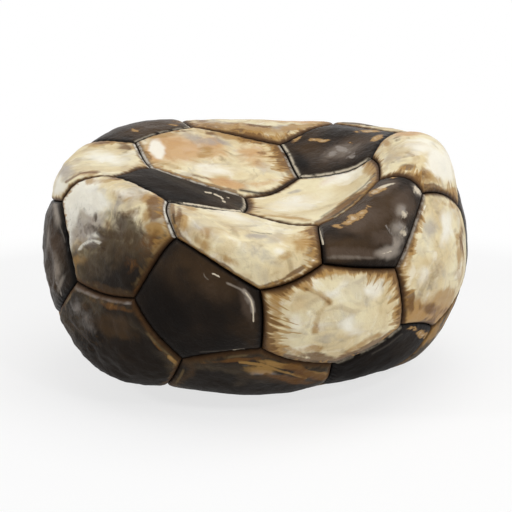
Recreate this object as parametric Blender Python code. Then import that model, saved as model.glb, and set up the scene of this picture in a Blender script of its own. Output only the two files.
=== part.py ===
# Deflated football: a hand-sewn ball of 12 black and 20 white leather panels that has lost its air.
# It has settled on the floor, its top has caved in and its sides have slumped and buckled.
# Every panel is a leather sheet with its edges turned inwards, as they are for sewing, so that
# neighbours meet wall to wall along each seam. Under them lies the slack rubber bladder, and the
# rubber valve sits in a hole through the middle of one white panel at the back.
# Metres, +Z up, with the origin on the floor under the middle of the ball.

import math

import bmesh
import bpy
import numpy as np
from mathutils import Matrix, Vector

# Half section of the sunken ball, from the middle of the dent, over the rim and round to the floor
DENT_HEIGHT = 0.120
CREST_RADIUS = 0.071
CREST_HEIGHT = 0.127
SHOULDER_RADIUS = 0.111
SHOULDER_HEIGHT = 0.113
GIRTH_RADIUS = 0.118
GIRTH_HEIGHT = 0.059
HEEL_RADIUS = 0.096
HEEL_HEIGHT = 0.014
FOOT_RADIUS = 0.070
FOOT_DEPTH = 0.003
SOLE_RADIUS = 0.036
SOLE_DEPTH = 0.010
BELLY_DEPTH = 0.012
FLOOR_SOFTNESS = 0.003  # how gradually the underside flattens on the floor

# How the ball was lying when it sank: turn, lean and spin of its top panel
BALL_TURN = math.radians(-133)
BALL_LEAN = math.radians(34)
BALL_SPIN = math.radians(31)
PUSH_SPREAD = math.radians(22)  # how far from a panel's middle its push is still felt

# Leather, seams, bladder and valve
LEATHER_THICKNESS = 0.0022
PANEL_CROWN = 0.0016  # how far a panel's middle bulges above its seams
SEAM_GAP = 0.0004  # between the walls of two neighbours
SEAM_DEPTH = 0.0020  # how deep the groove between two panels is
HEM_DEPTH = 0.0060  # how far the turned-in edges reach below the surface
BLADDER_DEPTH = 0.0092
BLADDER_THICKNESS = 0.0009
VALVE_RADIUS = 0.0036
VALVE_CLEARANCE = 0.0004
VALVE_RECESS = 0.0004  # the valve's face lies this much below the leather
VALVE_FLANGE_RADIUS = 0.0090
VALVE_FLANGE_THICKNESS = 0.0018
VALVE_TAIL = 0.0045  # how far the valve's tail reaches inside the bladder
NEEDLE_RADIUS = 0.0008
NEEDLE_DEPTH = 0.0085
VALVE_CHAMFER = 0.0004

# Where a panel's rings of points lie, as shares of the way from its middle to its seams, and how
# many steps each has along one side of the panel. A ring has as many as the one inside it, or one more.
PANEL_RINGS = ((0.30, 1), (0.58, 2), (0.80, 3), (0.93, 4), (1.0, 4))
BLADDER_RING_COUNT = 2  # evenly spaced, with one more step to a side in each
ROUND_STEPS = 24
NORMAL_STEP = 0.06  # radians, how far apart the slope of the surface is read
BLADDER_NORMAL_STEP = 0.32  # the slack bladder follows only the broad shape

# The panels, each with the points of the icosahedron that it belongs to (one for a black pentagon,
# three for a white hexagon) and the millimetres that it was pushed to the right, back and up.
# T is the ball's own top, B its bottom, and R0 to R4 and L0 to L4 are the rings of five between.
PANELS = {
    "black_dent_front_left": ("T", (-2, -3, -5)),
    "black_front": ("R0", (5, 3, 13)),
    "black_front_right_rim": ("R1", (-12, 0, -6)),
    "black_top_rear_right": ("R2", (5, -3, -3)),
    "black_top_rear_left": ("R3", (-4, -7, 4)),
    "black_left": ("R4", (0, 2, 7)),
    "black_low_front_right": ("L0", (3, 7, 10)),
    "black_right": ("L1", (1, -4, -4)),
    "black_rear": ("L2", (0, 0, 0)),
    "black_low_rear_left": ("L3", (0, 0, 0)),
    "black_low_front_left": ("L4", (-2, 9, 20)),
    "black_underside": ("B", (0, 0, 0)),
    "white_front_lip": ("T R0 R1", (-6, -3, -16)),
    "white_dent_ramp": ("T R1 R2", (15, -4, -20)),
    "white_dent_middle": ("T R2 R3", (0, -3, -4)),
    "white_rim_left": ("T R3 R4", (3, -5, -10)),
    "white_front_left_hump": ("T R4 R0", (13, 9, 4)),
    "white_front_right": ("R0 L0 R1", (-1, 5, -11)),
    "white_rim_right": ("R1 L1 R2", (-12, 2, 10)),
    "white_rim_rear": ("R2 L2 R3", (-3, -13, 0)),
    "white_rear_left": ("R3 L3 R4", (12, 0, 7)),
    "white_low_left": ("R4 L4 R0", (1, -4, -14)),
    "white_right_front": ("L0 L1 R1", (-5, 2, 6)),
    "white_rear_right_top": ("L1 L2 R2", (0, 0, 0)),
    "white_rear_left_mid": ("L2 L3 R3", (0, 0, 0)),
    "white_low_left_side": ("L3 L4 R4", (0, 0, 0)),
    "white_low_front": ("L4 L0 R0", (-2, 12, -2)),
    "white_low_right": ("B L1 L0", (0, 0, 0)),
    "white_low_rear_right": ("B L2 L1", (0, 0, 0)),
    "white_low_rear": ("B L3 L2", (0, 0, 0)),
    "white_underside_left": ("B L4 L3", (0, 0, 0)),
    "white_underside_front": ("B L0 L4", (0, 0, 0)),
}
VALVE_PANEL = "white_rear_left_mid"

# Where the stitching drew a seam's corner aside: the corner of the first point's black panel that
# lies towards the second point, and the millimetres that it was drawn to the right and up
TUG_SPREAD = math.radians(11)
TUGS = {
    "R0 T": (-2, 3.5),
    "R0 R1": (1, -0.5),
    "R0 L0": (-1, -1),
    "R0 L4": (1.5, 0.5),
    "R0 R4": (-1, -1),
    "T R0": (0.5, -1.5),
    "T R1": (-2, 0),
    "T R2": (3, -1),
    "T R3": (-2, 1),
    "R1 T": (0, -2),
    "R1 L1": (-1.5, 0.5),
    "R1 L0": (1, 0.5),
    "R2 T": (-3.5, 1),
    "R2 R1": (1, 0.5),
    "R2 L1": (1.5, -1),
    "R2 L2": (-3, 2),
    "R2 R3": (3.5, -2),
    "R3 R2": (-1, -0.5),
    "R4 R0": (1.5, -1.5),
    "R4 L4": (-2, 3),
    "L0 R0": (-0.5, 3),
    "L0 R1": (-1.5, -1),
}

MILLIMETRE = 0.001
BARELY = 1e-6  # for points that are the same one
SPLIT_WAY = Vector((1, 0.37, 0.61))


def unit(vectors):
    vectors = np.asarray(vectors, float)
    return vectors / np.linalg.norm(vectors, axis=-1, keepdims=True)


def icosahedron_points():
    """Directions of the twelve points, on the ball as it lay."""
    latitude = math.atan(0.5)
    points = {"T": (0, 0, 1), "B": (0, 0, -1)}
    for i in range(5):
        for letter, side, start in (("R", 1, 0), ("L", -1, 36)):
            azimuth = math.radians(start + 72 * i)
            points[f"{letter}{i}"] = (
                math.cos(latitude) * math.cos(azimuth),
                math.cos(latitude) * math.sin(azimuth),
                side * math.sin(latitude),
            )
    lay = (
        Matrix.Rotation(BALL_TURN, 3, "Z")
        @ Matrix.Rotation(BALL_LEAN, 3, "Y")
        @ Matrix.Rotation(BALL_SPIN, 3, "Z")
    )
    return {name: np.array(lay @ Vector(point)) for name, point in points.items()}


POINTS = icosahedron_points()


def panel_corners(places):
    """Corner directions of a panel, counterclockwise seen from outside."""
    own = [POINTS[place] for place in places.split()]
    if len(own) == 1:
        near = [p for p in POINTS.values() if 0.3 < p @ own[0] < 0.6]
        corners = [unit(2 * own[0] + p) for p in near]
    else:
        corners = [unit(2 * a + b) for a in own for b in own if a is not b]
    middle = unit(np.sum(own, axis=0))
    across = unit(corners[0] - middle * (corners[0] @ middle))
    up = np.cross(middle, across)
    return sorted(corners, key=lambda c: math.atan2(c @ up, c @ across) % (2 * math.pi - BARELY))


def half_section():
    """The half section as a smooth curve: share of its length, radius and height."""
    bend = 0.55  # where the dent's floor starts to rise towards the crest
    stations = [
        (0, DENT_HEIGHT),
        (bend * CREST_RADIUS, DENT_HEIGHT + 0.45 * (CREST_HEIGHT - DENT_HEIGHT)),
        (CREST_RADIUS, CREST_HEIGHT),
        (SHOULDER_RADIUS, SHOULDER_HEIGHT),
        (GIRTH_RADIUS, GIRTH_HEIGHT),
        (HEEL_RADIUS, HEEL_HEIGHT),
        (FOOT_RADIUS, -FOOT_DEPTH),
        (SOLE_RADIUS, -SOLE_DEPTH),
        (0, -BELLY_DEPTH),
    ]
    points = np.array(stations)
    mirror = np.array((-1, 1))
    points = np.vstack([points[1] * mirror, points, points[-2] * mirror])
    t = np.linspace(0, 1, 60, endpoint=False)[:, None]
    runs = []
    for a, b, c, d in zip(points, points[1:], points[2:], points[3:]):
        runs.append(
            b
            + (c - a) * t / 2
            + (2 * a - 5 * b + 4 * c - d) * t**2 / 2
            + (3 * b - a - 3 * c + d) * t**3 / 2
        )
    curve = np.vstack(runs + [points[-2:-1]])
    length = np.append(0, np.cumsum(np.linalg.norm(np.diff(curve, axis=0), axis=1)))
    return length / length[-1], curve[:, 0], curve[:, 1]


SECTION = half_section()
PULLS = [
    (unit(sum(POINTS[place] for place in places.split())), push, PUSH_SPREAD)
    for places, push in PANELS.values()
    if any(push)
] + [
    (unit(POINTS[seam.split()[0]] * 2 + POINTS[seam.split()[1]]), (right, 0, up), TUG_SPREAD)
    for seam, (right, up) in TUGS.items()
]


def sunken(directions):
    """Where points of the round ball, given by their directions, lie once it has sunk."""
    directions = unit(directions)
    polar = np.arccos(np.clip(directions[:, 2], -1, 1)) / math.pi
    around = directions[:, :2] / np.maximum(np.hypot(*directions[:, :2].T), BARELY)[:, None]
    share, radius, height = SECTION
    points = np.column_stack(
        [around * np.interp(polar, share, radius)[:, None], np.interp(polar, share, height)]
    )
    for middle, pull, spread in PULLS:
        angle = np.arccos(np.clip(directions @ middle, -1, 1))
        points += np.exp(-((angle / spread) ** 2) / 2)[:, None] * np.array(pull) * MILLIMETRE
    z = points[:, 2]
    points[:, 2] = (z + np.sqrt(z**2 + FLOOR_SOFTNESS**2)) / 2
    return points


def slope(directions, along, step=NORMAL_STEP):
    """How the surface runs at each direction as that moves along a tangent of the sphere."""
    half = step / 2 * along
    return (sunken(directions + half) - sunken(directions - half)) / step


def normals(directions, step=NORMAL_STEP):
    directions = unit(directions)
    first = unit(np.cross(directions, (0.3, 0.5, 0.81)))
    second = np.cross(directions, first)
    return unit(np.cross(slope(directions, first, step), slope(directions, second, step)))


def laid(directions, lift):
    """Points on the sunken ball, raised by lift along its normals and never under the floor."""
    points = sunken(directions) + normals(directions) * np.reshape(lift, (-1, 1))
    points[:, 2] = np.maximum(points[:, 2], 0)
    return points


def ring_directions(corners, share, steps):
    """One ring of a panel, share of the way out from its middle, with some steps to each side."""
    middle = np.mean(corners, axis=0)
    ring = []
    for start, end in zip(corners, corners[1:] + corners[:1]):
        for i in range(steps):
            ring.append(middle + share * (start + (end - start) * i / steps - middle))
    return unit(ring)


def seam_insets(corners, steps):
    """For each point of a panel's seam line, the way into the panel that keeps off the seam by one
    unit. Both neighbours find the same line, so that their walls end up parallel."""
    edges = list(zip(corners, corners[1:] + corners[:1]))
    insets = []
    for number, (start, end) in enumerate(edges):
        before = edges[number - 1]
        for i in range(steps):
            here = unit(start + (end - start) * i / steps)
            normal = normals(here[None])[0]
            ways = []
            for a, b in [before, (start, end)] if i == 0 else [(start, end)]:
                run = unit((b - a) - here * (here @ (b - a)))
                ways.append(unit(np.cross(normal, slope(here[None], run[None])[0])))
            way = np.sum(ways, axis=0)
            insets.append(way * len(ways) / (way @ way))
    return np.array(insets)


def bridge(bm, inner, outer, sides):
    """Faces between two rings. The outer one has as many steps to a side as the inner, or one more."""
    few, many = (len(inner) // sides if len(inner) > 1 else 0), len(outer) // sides
    for side in range(sides):
        near = [inner[(side * few + i) % len(inner)] for i in range(few + 1)]
        far = [outer[(side * many + i) % len(outer)] for i in range(many + 1)]
        if few == many:
            for i in range(many):
                # Both walls of a seam are split from the same end, or a twisted one meets its neighbour
                if near[i].co.dot(SPLIT_WAY) > near[i + 1].co.dot(SPLIT_WAY):
                    bm.faces.new((near[i], far[i], far[i + 1]))
                    bm.faces.new((near[i], far[i + 1], near[i + 1]))
                else:
                    bm.faces.new((near[i], far[i], near[i + 1]))
                    bm.faces.new((near[i + 1], far[i], far[i + 1]))
            continue
        for i in range(many):
            bm.faces.new((near[i], far[i], far[i + 1]))
        for i in range(few):
            bm.faces.new((near[i], far[i + 1], near[i + 1]))


def crown_at(share):
    """How far a panel rises above the ball's mean surface, share of the way out to its seams."""
    return PANEL_CROWN * (0.5 - share**2)


def panel_sheet(places):
    """A panel's outer surface with its edge turned in along the seams, as rings of points, and how
    many sides it has."""
    corners = panel_corners(places)
    middle = unit(np.mean(corners, axis=0))[None]
    rings = [laid(middle, crown_at(0))]
    for share, steps in PANEL_RINGS[:-1]:
        rings.append(laid(ring_directions(corners, share, steps), crown_at(share)))
    share, steps = PANEL_RINGS[-1]
    seam = ring_directions(corners, share, steps)
    aside = seam_insets(corners, steps) * SEAM_GAP / 2
    out = normals(seam)
    for depth in (SEAM_DEPTH + PANEL_CROWN / 2, HEM_DEPTH + PANEL_CROWN / 2):
        points = sunken(seam) + aside - out * depth
        points[:, 2] = np.maximum(points[:, 2], 0)
        rings.append(points)
    return rings, len(corners)


def new_object(name, bm, material, origin, parent):
    """An object with its origin at a point of its own, and its mesh about it."""
    bmesh.ops.translate(bm, verts=bm.verts, vec=-Vector(origin))
    mesh = bpy.data.meshes.new(name)
    bm.to_mesh(mesh)
    bm.free()
    mesh.materials.append(material)
    mesh.shade_smooth()
    mesh.set_sharp_from_angle(angle=math.radians(40))
    obj = bpy.data.objects.new(name, mesh)
    bpy.context.scene.collection.objects.link(obj)
    obj.parent = parent
    obj.location = origin
    return obj


def give_thickness(obj, thickness):
    shell = obj.modifiers.new("Thickness", "SOLIDIFY")
    shell.thickness = thickness
    shell.offset = -1
    shell.use_even_offset = True
    shell.use_quality_normals = True


def cut_with(obj, cutter):
    hole = obj.modifiers.new("Valve hole", "BOOLEAN")
    hole.operation = "DIFFERENCE"
    hole.solver = "EXACT"
    hole.object = cutter


def make_panel(name, material, parent):
    rings, sides = panel_sheet(PANELS[name][0])
    bm = bmesh.new()
    verts = [[bm.verts.new(point) for point in ring] for ring in rings]
    for inner, outer in zip(verts, verts[1:]):
        bridge(bm, inner, outer, sides)
    obj = new_object(name, bm, material, rings[0][0], parent)
    give_thickness(obj, LEATHER_THICKNESS)
    return obj


def bladder_skin(directions):
    """The slack bladder follows the panels from inside."""
    points = sunken(directions) - normals(directions, BLADDER_NORMAL_STEP) * BLADDER_DEPTH
    points[:, 2] = np.maximum(points[:, 2], BLADDER_DEPTH - FLOOR_SOFTNESS)
    return points


def make_bladder(material, parent):
    bm = bmesh.new()
    for places, _ in PANELS.values():
        corners = panel_corners(places)
        directions = [unit(np.mean(corners, axis=0))[None]]
        for steps in range(1, BLADDER_RING_COUNT + 1):
            directions.append(ring_directions(corners, steps / BLADDER_RING_COUNT, steps))
        verts = []
        for ring in directions:
            verts.append([bm.verts.new(point) for point in bladder_skin(ring)])
        for inner, outer in zip(verts, verts[1:]):
            bridge(bm, inner, outer, len(corners))
    bmesh.ops.remove_doubles(bm, verts=bm.verts, dist=BARELY)
    origin = (0, 0, BLADDER_DEPTH)
    obj = new_object("bladder", bm, material, origin, parent)
    give_thickness(obj, BLADDER_THICKNESS)
    return obj


def turned(profile):
    """A closed solid turned about Z from a profile of radius and height, that runs from the axis
    at the bottom, out and up to the axis at the top."""
    bm = bmesh.new()
    points = [bm.verts.new((radius, 0, height)) for radius, height in profile]
    edges = [bm.edges.new(pair) for pair in zip(points, points[1:])]
    bmesh.ops.spin(
        bm,
        geom=points + edges,
        cent=(0, 0, 0),
        axis=(0, 0, 1),
        angle=math.tau,
        steps=ROUND_STEPS,
    )
    bmesh.ops.remove_doubles(bm, verts=bm.verts, dist=BARELY)
    bmesh.ops.recalc_face_normals(bm, faces=bm.faces)
    return bm


def valve_seat():
    """Place of the valve's face on its panel, the rotation that turns +Z outwards there, and the
    height of the bladder under it, below zero."""
    middle = unit(np.mean(panel_corners(PANELS[VALVE_PANEL][0]), axis=0))[None]
    out = normals(middle)[0]
    face = laid(middle, crown_at(0) - VALVE_RECESS)[0]
    bladder_height = (bladder_skin(middle)[0] - face) @ out
    return Vector(face), Vector(out).to_track_quat("Z", "Y"), bladder_height


def make_valve(material, parent):
    """The valve's stem stands in the panel's hole, its flange on the bladder and its tail inside."""
    face, rotation, bladder_height = valve_seat()
    flange_foot = bladder_height + VALVE_CLEARANCE
    flange_top = flange_foot + VALVE_FLANGE_THICKNESS
    tail = bladder_height - BLADDER_THICKNESS - VALVE_TAIL
    bm = turned(
        [
            (0, tail),
            (VALVE_RADIUS - 2 * VALVE_CHAMFER, tail),
            (VALVE_RADIUS, tail + 2 * VALVE_CHAMFER),
            (VALVE_RADIUS, flange_foot),
            (VALVE_FLANGE_RADIUS, flange_foot),
            (VALVE_FLANGE_RADIUS, flange_top - VALVE_CHAMFER),
            (VALVE_FLANGE_RADIUS - VALVE_CHAMFER, flange_top),
            (VALVE_RADIUS, flange_top),
            (VALVE_RADIUS, -VALVE_CHAMFER),
            (VALVE_RADIUS - VALVE_CHAMFER, 0),
            (2 * NEEDLE_RADIUS, 0),
            (NEEDLE_RADIUS, -NEEDLE_RADIUS),
            (NEEDLE_RADIUS, -NEEDLE_DEPTH),
            (0, -NEEDLE_DEPTH - NEEDLE_RADIUS / 2),
        ]
    )
    obj = new_object("valve", bm, material, (0, 0, 0), parent)
    obj.location = face
    obj.rotation_mode = "QUATERNION"
    obj.rotation_quaternion = rotation
    return obj


def make_hole_cutter(material, parent):
    """The hole for the valve, through the panel and the bladder."""
    face, rotation, bladder_height = valve_seat()
    radius = VALVE_RADIUS + VALVE_CLEARANCE
    low, high = bladder_height - BLADDER_THICKNESS - VALVE_TAIL, 2 * PANEL_CROWN
    bm = turned([(0, low), (radius, low), (radius, high), (0, high)])
    obj = new_object("valve_hole_cutter", bm, material, (0, 0, 0), parent)
    obj.location = face
    obj.rotation_mode = "QUATERNION"
    obj.rotation_quaternion = rotation
    obj.hide_render = True
    obj.display_type = "WIRE"
    return obj


def new_material(name, colour, roughness):
    material = bpy.data.materials.new(name)
    material.use_nodes = True
    shader = material.node_tree.nodes["Principled BSDF"]
    shader.inputs["Base Color"].default_value = (*colour, 1)
    shader.inputs["Roughness"].default_value = roughness
    shader.inputs["Metallic"].default_value = 0
    material.diffuse_color = (*colour, 1)
    return material


def build():
    for old in list(bpy.data.objects):
        bpy.data.objects.remove(old, do_unlink=True)

    white = new_material("white_leather", (0.62, 0.56, 0.45), 0.42)
    black = new_material("black_leather", (0.030, 0.026, 0.022), 0.36)
    latex = new_material("bladder_rubber", (0.020, 0.019, 0.018), 0.60)
    rubber = new_material("valve_rubber", (0.035, 0.033, 0.030), 0.55)

    ball = bpy.data.objects.new("deflated_ball", None)
    bpy.context.scene.collection.objects.link(ball)
    panels = {
        name: make_panel(name, black if name.startswith("black") else white, ball)
        for name in PANELS
    }
    bladder = make_bladder(latex, ball)
    make_valve(rubber, ball)
    cutter = make_hole_cutter(rubber, ball)
    cut_with(panels[VALVE_PANEL], cutter)
    cut_with(bladder, cutter)

    # The origin goes under the middle of the whole ball
    corners = np.array(
        [vert.co + obj.location for obj in panels.values() for vert in obj.data.vertices]
    )
    middle = (corners.min(axis=0) + corners.max(axis=0)) / 2
    ball.location = (-middle[0], -middle[1], 0)


build()
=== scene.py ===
import math

import bmesh
import bpy
import numpy as np
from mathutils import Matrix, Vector


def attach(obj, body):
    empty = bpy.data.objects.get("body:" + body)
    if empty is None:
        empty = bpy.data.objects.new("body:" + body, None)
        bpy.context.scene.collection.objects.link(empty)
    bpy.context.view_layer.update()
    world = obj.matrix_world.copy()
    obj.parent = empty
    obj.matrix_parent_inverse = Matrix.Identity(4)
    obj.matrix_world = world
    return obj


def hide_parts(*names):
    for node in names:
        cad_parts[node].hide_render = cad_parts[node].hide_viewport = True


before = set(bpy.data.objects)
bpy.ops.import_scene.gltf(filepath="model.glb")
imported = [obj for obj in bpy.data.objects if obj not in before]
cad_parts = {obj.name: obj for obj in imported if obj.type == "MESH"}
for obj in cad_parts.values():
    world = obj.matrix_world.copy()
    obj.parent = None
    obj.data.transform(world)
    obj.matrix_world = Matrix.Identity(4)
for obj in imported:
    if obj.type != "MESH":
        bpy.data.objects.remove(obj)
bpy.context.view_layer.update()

# Deflated football of black and white leather panels, lying caved in on a pale floor

mm = 0.001

# The sunken form: the same rule that the solids follow

form = {
    "turn": -133, "lean": 34, "spin": 31,  # how the ball lay when it sank, degrees
    "section": [  # half section in mm, radius and height, from the dent round to the floor
        (0, 120), (39.05, 123.15), (71, 127), (111, 113), (118, 59), (96, 14),
        (70, -3), (36, -10), (0, -12),
    ],
    "floorSoftness": 3.0,
    "pushSpread": 22, "tugSpread": 11,  # degrees
    "shift": (-1.484, -0.661),  # puts the middle of the ball over the origin
}

# each panel: its points on the icosahedron and how far it was pushed right, back and up, mm
panels = {
    "black_dent_front_left": ("T", (-2, -3, -5)),
    "black_front": ("R0", (5, 3, 13)),
    "black_front_right_rim": ("R1", (-12, 0, -6)),
    "black_top_rear_right": ("R2", (5, -3, -3)),
    "black_top_rear_left": ("R3", (-4, -7, 4)),
    "black_left": ("R4", (0, 2, 7)),
    "black_low_front_right": ("L0", (3, 7, 10)),
    "black_right": ("L1", (1, -4, -4)),
    "black_rear": ("L2", (0, 0, 0)),
    "black_low_rear_left": ("L3", (0, 0, 0)),
    "black_low_front_left": ("L4", (-2, 9, 20)),
    "black_underside": ("B", (0, 0, 0)),
    "white_front_lip": ("T R0 R1", (-6, -3, -16)),
    "white_dent_ramp": ("T R1 R2", (15, -4, -20)),
    "white_dent_middle": ("T R2 R3", (0, -3, -4)),
    "white_rim_left": ("T R3 R4", (3, -5, -10)),
    "white_front_left_hump": ("T R4 R0", (13, 9, 4)),
    "white_front_right": ("R0 L0 R1", (-1, 5, -11)),
    "white_rim_right": ("R1 L1 R2", (-12, 2, 10)),
    "white_rim_rear": ("R2 L2 R3", (-3, -13, 0)),
    "white_rear_left": ("R3 L3 R4", (12, 0, 7)),
    "white_low_left": ("R4 L4 R0", (1, -4, -14)),
    "white_right_front": ("L0 L1 R1", (-5, 2, 6)),
    "white_rear_right_top": ("L1 L2 R2", (0, 0, 0)),
    "white_rear_left_mid": ("L2 L3 R3", (0, 0, 0)),
    "white_low_left_side": ("L3 L4 R4", (0, 0, 0)),
    "white_low_front": ("L4 L0 R0", (-2, 12, -2)),
    "white_low_right": ("B L1 L0", (0, 0, 0)),
    "white_low_rear_right": ("B L2 L1", (0, 0, 0)),
    "white_low_rear": ("B L3 L2", (0, 0, 0)),
    "white_underside_left": ("B L4 L3", (0, 0, 0)),
    "white_underside_front": ("B L0 L4", (0, 0, 0)),
}
# seam corners that the stitching drew aside, right and up, mm
tugs = {
    "R0 T": (-2, 3.5), "R0 R1": (1, -0.5), "R0 L0": (-1, -1), "R0 L4": (1.5, 0.5),
    "R0 R4": (-1, -1), "T R0": (0.5, -1.5), "T R1": (-2, 0), "T R2": (3, -1),
    "T R3": (-2, 1), "R1 T": (0, -2), "R1 L1": (-1.5, 0.5), "R1 L0": (1, 0.5),
    "R2 T": (-3.5, 1), "R2 R1": (1, 0.5), "R2 L1": (1.5, -1), "R2 L2": (-3, 2),
    "R2 R3": (3.5, -2), "R3 R2": (-1, -0.5), "R4 R0": (1.5, -1.5), "R4 L4": (-2, 3),
    "L0 R0": (-0.5, 3), "L0 R1": (-1.5, -1),
}

leather = {
    "rings": 54,  # rings of points from a panel's middle to its seams
    "ringBias": 1.3,  # above 1 the rings crowd towards the seams
    "innerRing": 0.6,  # place of the one ring inside, as a share of the way to the seam
    "middleToSide": {6: 38.0, 5: 30.5},  # mm, by the panel's number of sides
    "sideLength": 44,  # mm
    "crown": 1.6,  # mm, how far a panel's middle bulges
    "seamDepth": (2.0, 2.9),  # mm, groove between two panels, on top and lower down
    "shoulder": (3.6, 5.4),  # mm, how wide the edge rolls over into the groove, likewise
    "lowerDown": (108, 84),  # mm, heights between which the first kind turns into the second
    "roll": 2.1,  # squareness of that roll
    "calmEdge": 7,  # mm, how far from a seam the leather is pulled smoother
    "stitches": 8,  # along one side
    "stitchPull": 0.22,  # mm
    "stitchPlace": (1.6, 1.5),  # mm from the seam, and how far the pull spreads
    "paleLine": (1.3, 0.75),  # mm from the seam where the edge is worn pale, and its half width
    "gap": 0.3,  # mm between the walls of two neighbours
    "hem": 6.0,  # mm, how deep the edges are turned in
    "thickness": 2.2,  # mm
}


def unit(v):
    v = np.asarray(v, float)
    return v / np.linalg.norm(v, axis=-1, keepdims=True)


def turnAbout(axis, degrees):
    c, s = math.cos(math.radians(degrees)), math.sin(math.radians(degrees))
    if axis == "Z":
        return np.array([(c, -s, 0), (s, c, 0), (0, 0, 1)])
    return np.array([(c, 0, s), (0, 1, 0), (-s, 0, c)])


def icosahedronPoints():
    lay = turnAbout("Z", form["turn"]) @ turnAbout("Y", form["lean"]) @ turnAbout("Z", form["spin"])
    points = {"T": (0, 0, 1), "B": (0, 0, -1)}
    latitude = math.atan(0.5)
    for i in range(5):
        for letter, side, start in (("R", 1, 0), ("L", -1, 36)):
            a = math.radians(start + 72 * i)
            points[f"{letter}{i}"] = (
                math.cos(latitude) * math.cos(a), math.cos(latitude) * math.sin(a),
                side * math.sin(latitude),
            )
    return {name: lay @ np.array(point) for name, point in points.items()}


ico = icosahedronPoints()


def halfSection():
    points = np.array(form["section"], float)
    points = np.vstack([points[1] * (-1, 1), points, points[-2] * (-1, 1)])
    t = np.linspace(0, 1, 60, endpoint=False)[:, None]
    runs = [
        b + (c - a) * t / 2 + (2 * a - 5 * b + 4 * c - d) * t**2 / 2 + (3 * b - a - 3 * c + d) * t**3 / 2
        for a, b, c, d in zip(points, points[1:], points[2:], points[3:])
    ]
    curve = np.vstack(runs + [points[-2:-1]])
    length = np.append(0, np.cumsum(np.linalg.norm(np.diff(curve, axis=0), axis=1)))
    return length / length[-1], curve[:, 0], curve[:, 1]


section = halfSection()
pulls = [
    (unit(sum(ico[p] for p in places.split())), push, math.radians(form["pushSpread"]))
    for places, push in panels.values() if any(push)
] + [
    (unit(2 * ico[seam.split()[0]] + ico[seam.split()[1]]), (right, 0, up), math.radians(form["tugSpread"]))
    for seam, (right, up) in tugs.items()
]


def sunken(directions):
    directions = unit(directions)
    polar = np.arccos(np.clip(directions[:, 2], -1, 1)) / math.pi
    around = directions[:, :2] / np.maximum(np.hypot(*directions[:, :2].T), 1e-6)[:, None]
    share, radius, height = section
    points = np.column_stack(
        [around * np.interp(polar, share, radius)[:, None], np.interp(polar, share, height)]
    )
    for middle, pull, spread in pulls:
        angle = np.arccos(np.clip(directions @ middle, -1, 1))
        points += np.exp(-((angle / spread) ** 2) / 2)[:, None] * np.array(pull, float)
    z = points[:, 2]
    points[:, 2] = (z + np.sqrt(z**2 + form["floorSoftness"] ** 2)) / 2
    points[:, :2] += form["shift"]
    return points


def slope(directions, along, step=0.06):
    return (sunken(directions + step / 2 * along) - sunken(directions - step / 2 * along)) / step


def normals(directions):
    directions = unit(directions)
    first = unit(np.cross(directions, (0.3, 0.5, 0.81)))
    second = np.cross(directions, first)
    return unit(np.cross(slope(directions, first), slope(directions, second)))


def panelCorners(places):
    own = [ico[place] for place in places.split()]
    if len(own) == 1:
        corners = [unit(2 * own[0] + p) for p in ico.values() if 0.3 < p @ own[0] < 0.6]
    else:
        corners = [unit(2 * a + b) for a in own for b in own if a is not b]
    middle = unit(np.sum(own, axis=0))
    across = unit(corners[0] - middle * (corners[0] @ middle))
    up = np.cross(middle, across)
    return np.array(sorted(corners, key=lambda c: math.atan2(c @ up, c @ across) % (2 * math.pi - 1e-6)))


# Camera: the photograph's view

camera = {
    "elevation": 14.5, "distance": 800, "target": (-1.484, -0.661, 62.3),  # degrees, mm
    "focal": 1488,  # in pixels of the 512-pixel picture
    "picture": 512, "sensor": 36, "clip": (0.05, 50),  # clip in metres
    "mmPerPixel": 0.54,  # at the ball
    "turnedAway": -0.15,  # leather that faces further away than this takes none of the marks below
}


def cameraAxes():
    e = math.radians(camera["elevation"])
    back = np.array((0, -math.cos(e), math.sin(e)))
    up = np.array((0, math.sin(e), math.cos(e)))
    return np.array(camera["target"]) + back * camera["distance"], back, up


def inPicture(points):
    eye, back, up = cameraAxes()
    away = points - eye
    depth = -(away @ back)
    half = camera["picture"] / 2
    return np.column_stack(
        [half + camera["focal"] * away[:, 0] / depth, half - camera["focal"] * (away @ up) / depth]
    )


def addCamera():
    eye, back, _ = cameraAxes()
    lens = bpy.data.cameras.new("camera")
    lens.sensor_width = camera["sensor"]
    lens.lens = camera["focal"] * camera["sensor"] / camera["picture"]
    lens.clip_start, lens.clip_end = camera["clip"]
    obj = bpy.data.objects.new("camera", lens)
    obj.location = Vector(eye) * mm
    obj.rotation_mode = "QUATERNION"
    obj.rotation_quaternion = Vector(-back).to_track_quat("-Z", "Y")
    bpy.context.scene.collection.objects.link(obj)
    bpy.context.scene.camera = obj


# Noise for the leather's unevenness

cellMixers = (73856093, 19349663, 83492791)  # large odd numbers, so that no two cells look alike
waves = {  # height and size in mm, seed
    "broad": (0.75, 24, 11), "buckles": (0.24, 8, 31), "wrinkles": (0.07, 3.2, 51),
}


# smooth random values from -1 to 1, with features of one size in mm
def valueNoise(points, size, seed):
    rng = np.random.default_rng(seed)
    table = rng.uniform(-1, 1, 4096)
    q = np.asarray(points) / size + 100
    cell = np.floor(q).astype(np.int64)
    t = smooth(0, 1, q - cell)
    total = 0
    for dx in (0, 1):
        for dy in (0, 1):
            for dz in (0, 1):
                corner = (cell + (dx, dy, dz)) * cellMixers
                key = corner[:, 0] ^ corner[:, 1] ^ corner[:, 2]
                weight = (
                    (t[:, 0] if dx else 1 - t[:, 0]) * (t[:, 1] if dy else 1 - t[:, 1])
                    * (t[:, 2] if dz else 1 - t[:, 2])
                )
                total = total + weight * table[(key + seed * 977) % len(table)]
    return total


# with a second layer of half the size and half the strength
def layeredNoise(points, size, seed):
    return valueNoise(points, size, seed) + valueNoise(points, size / 2, seed + 1) / 2


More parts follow.
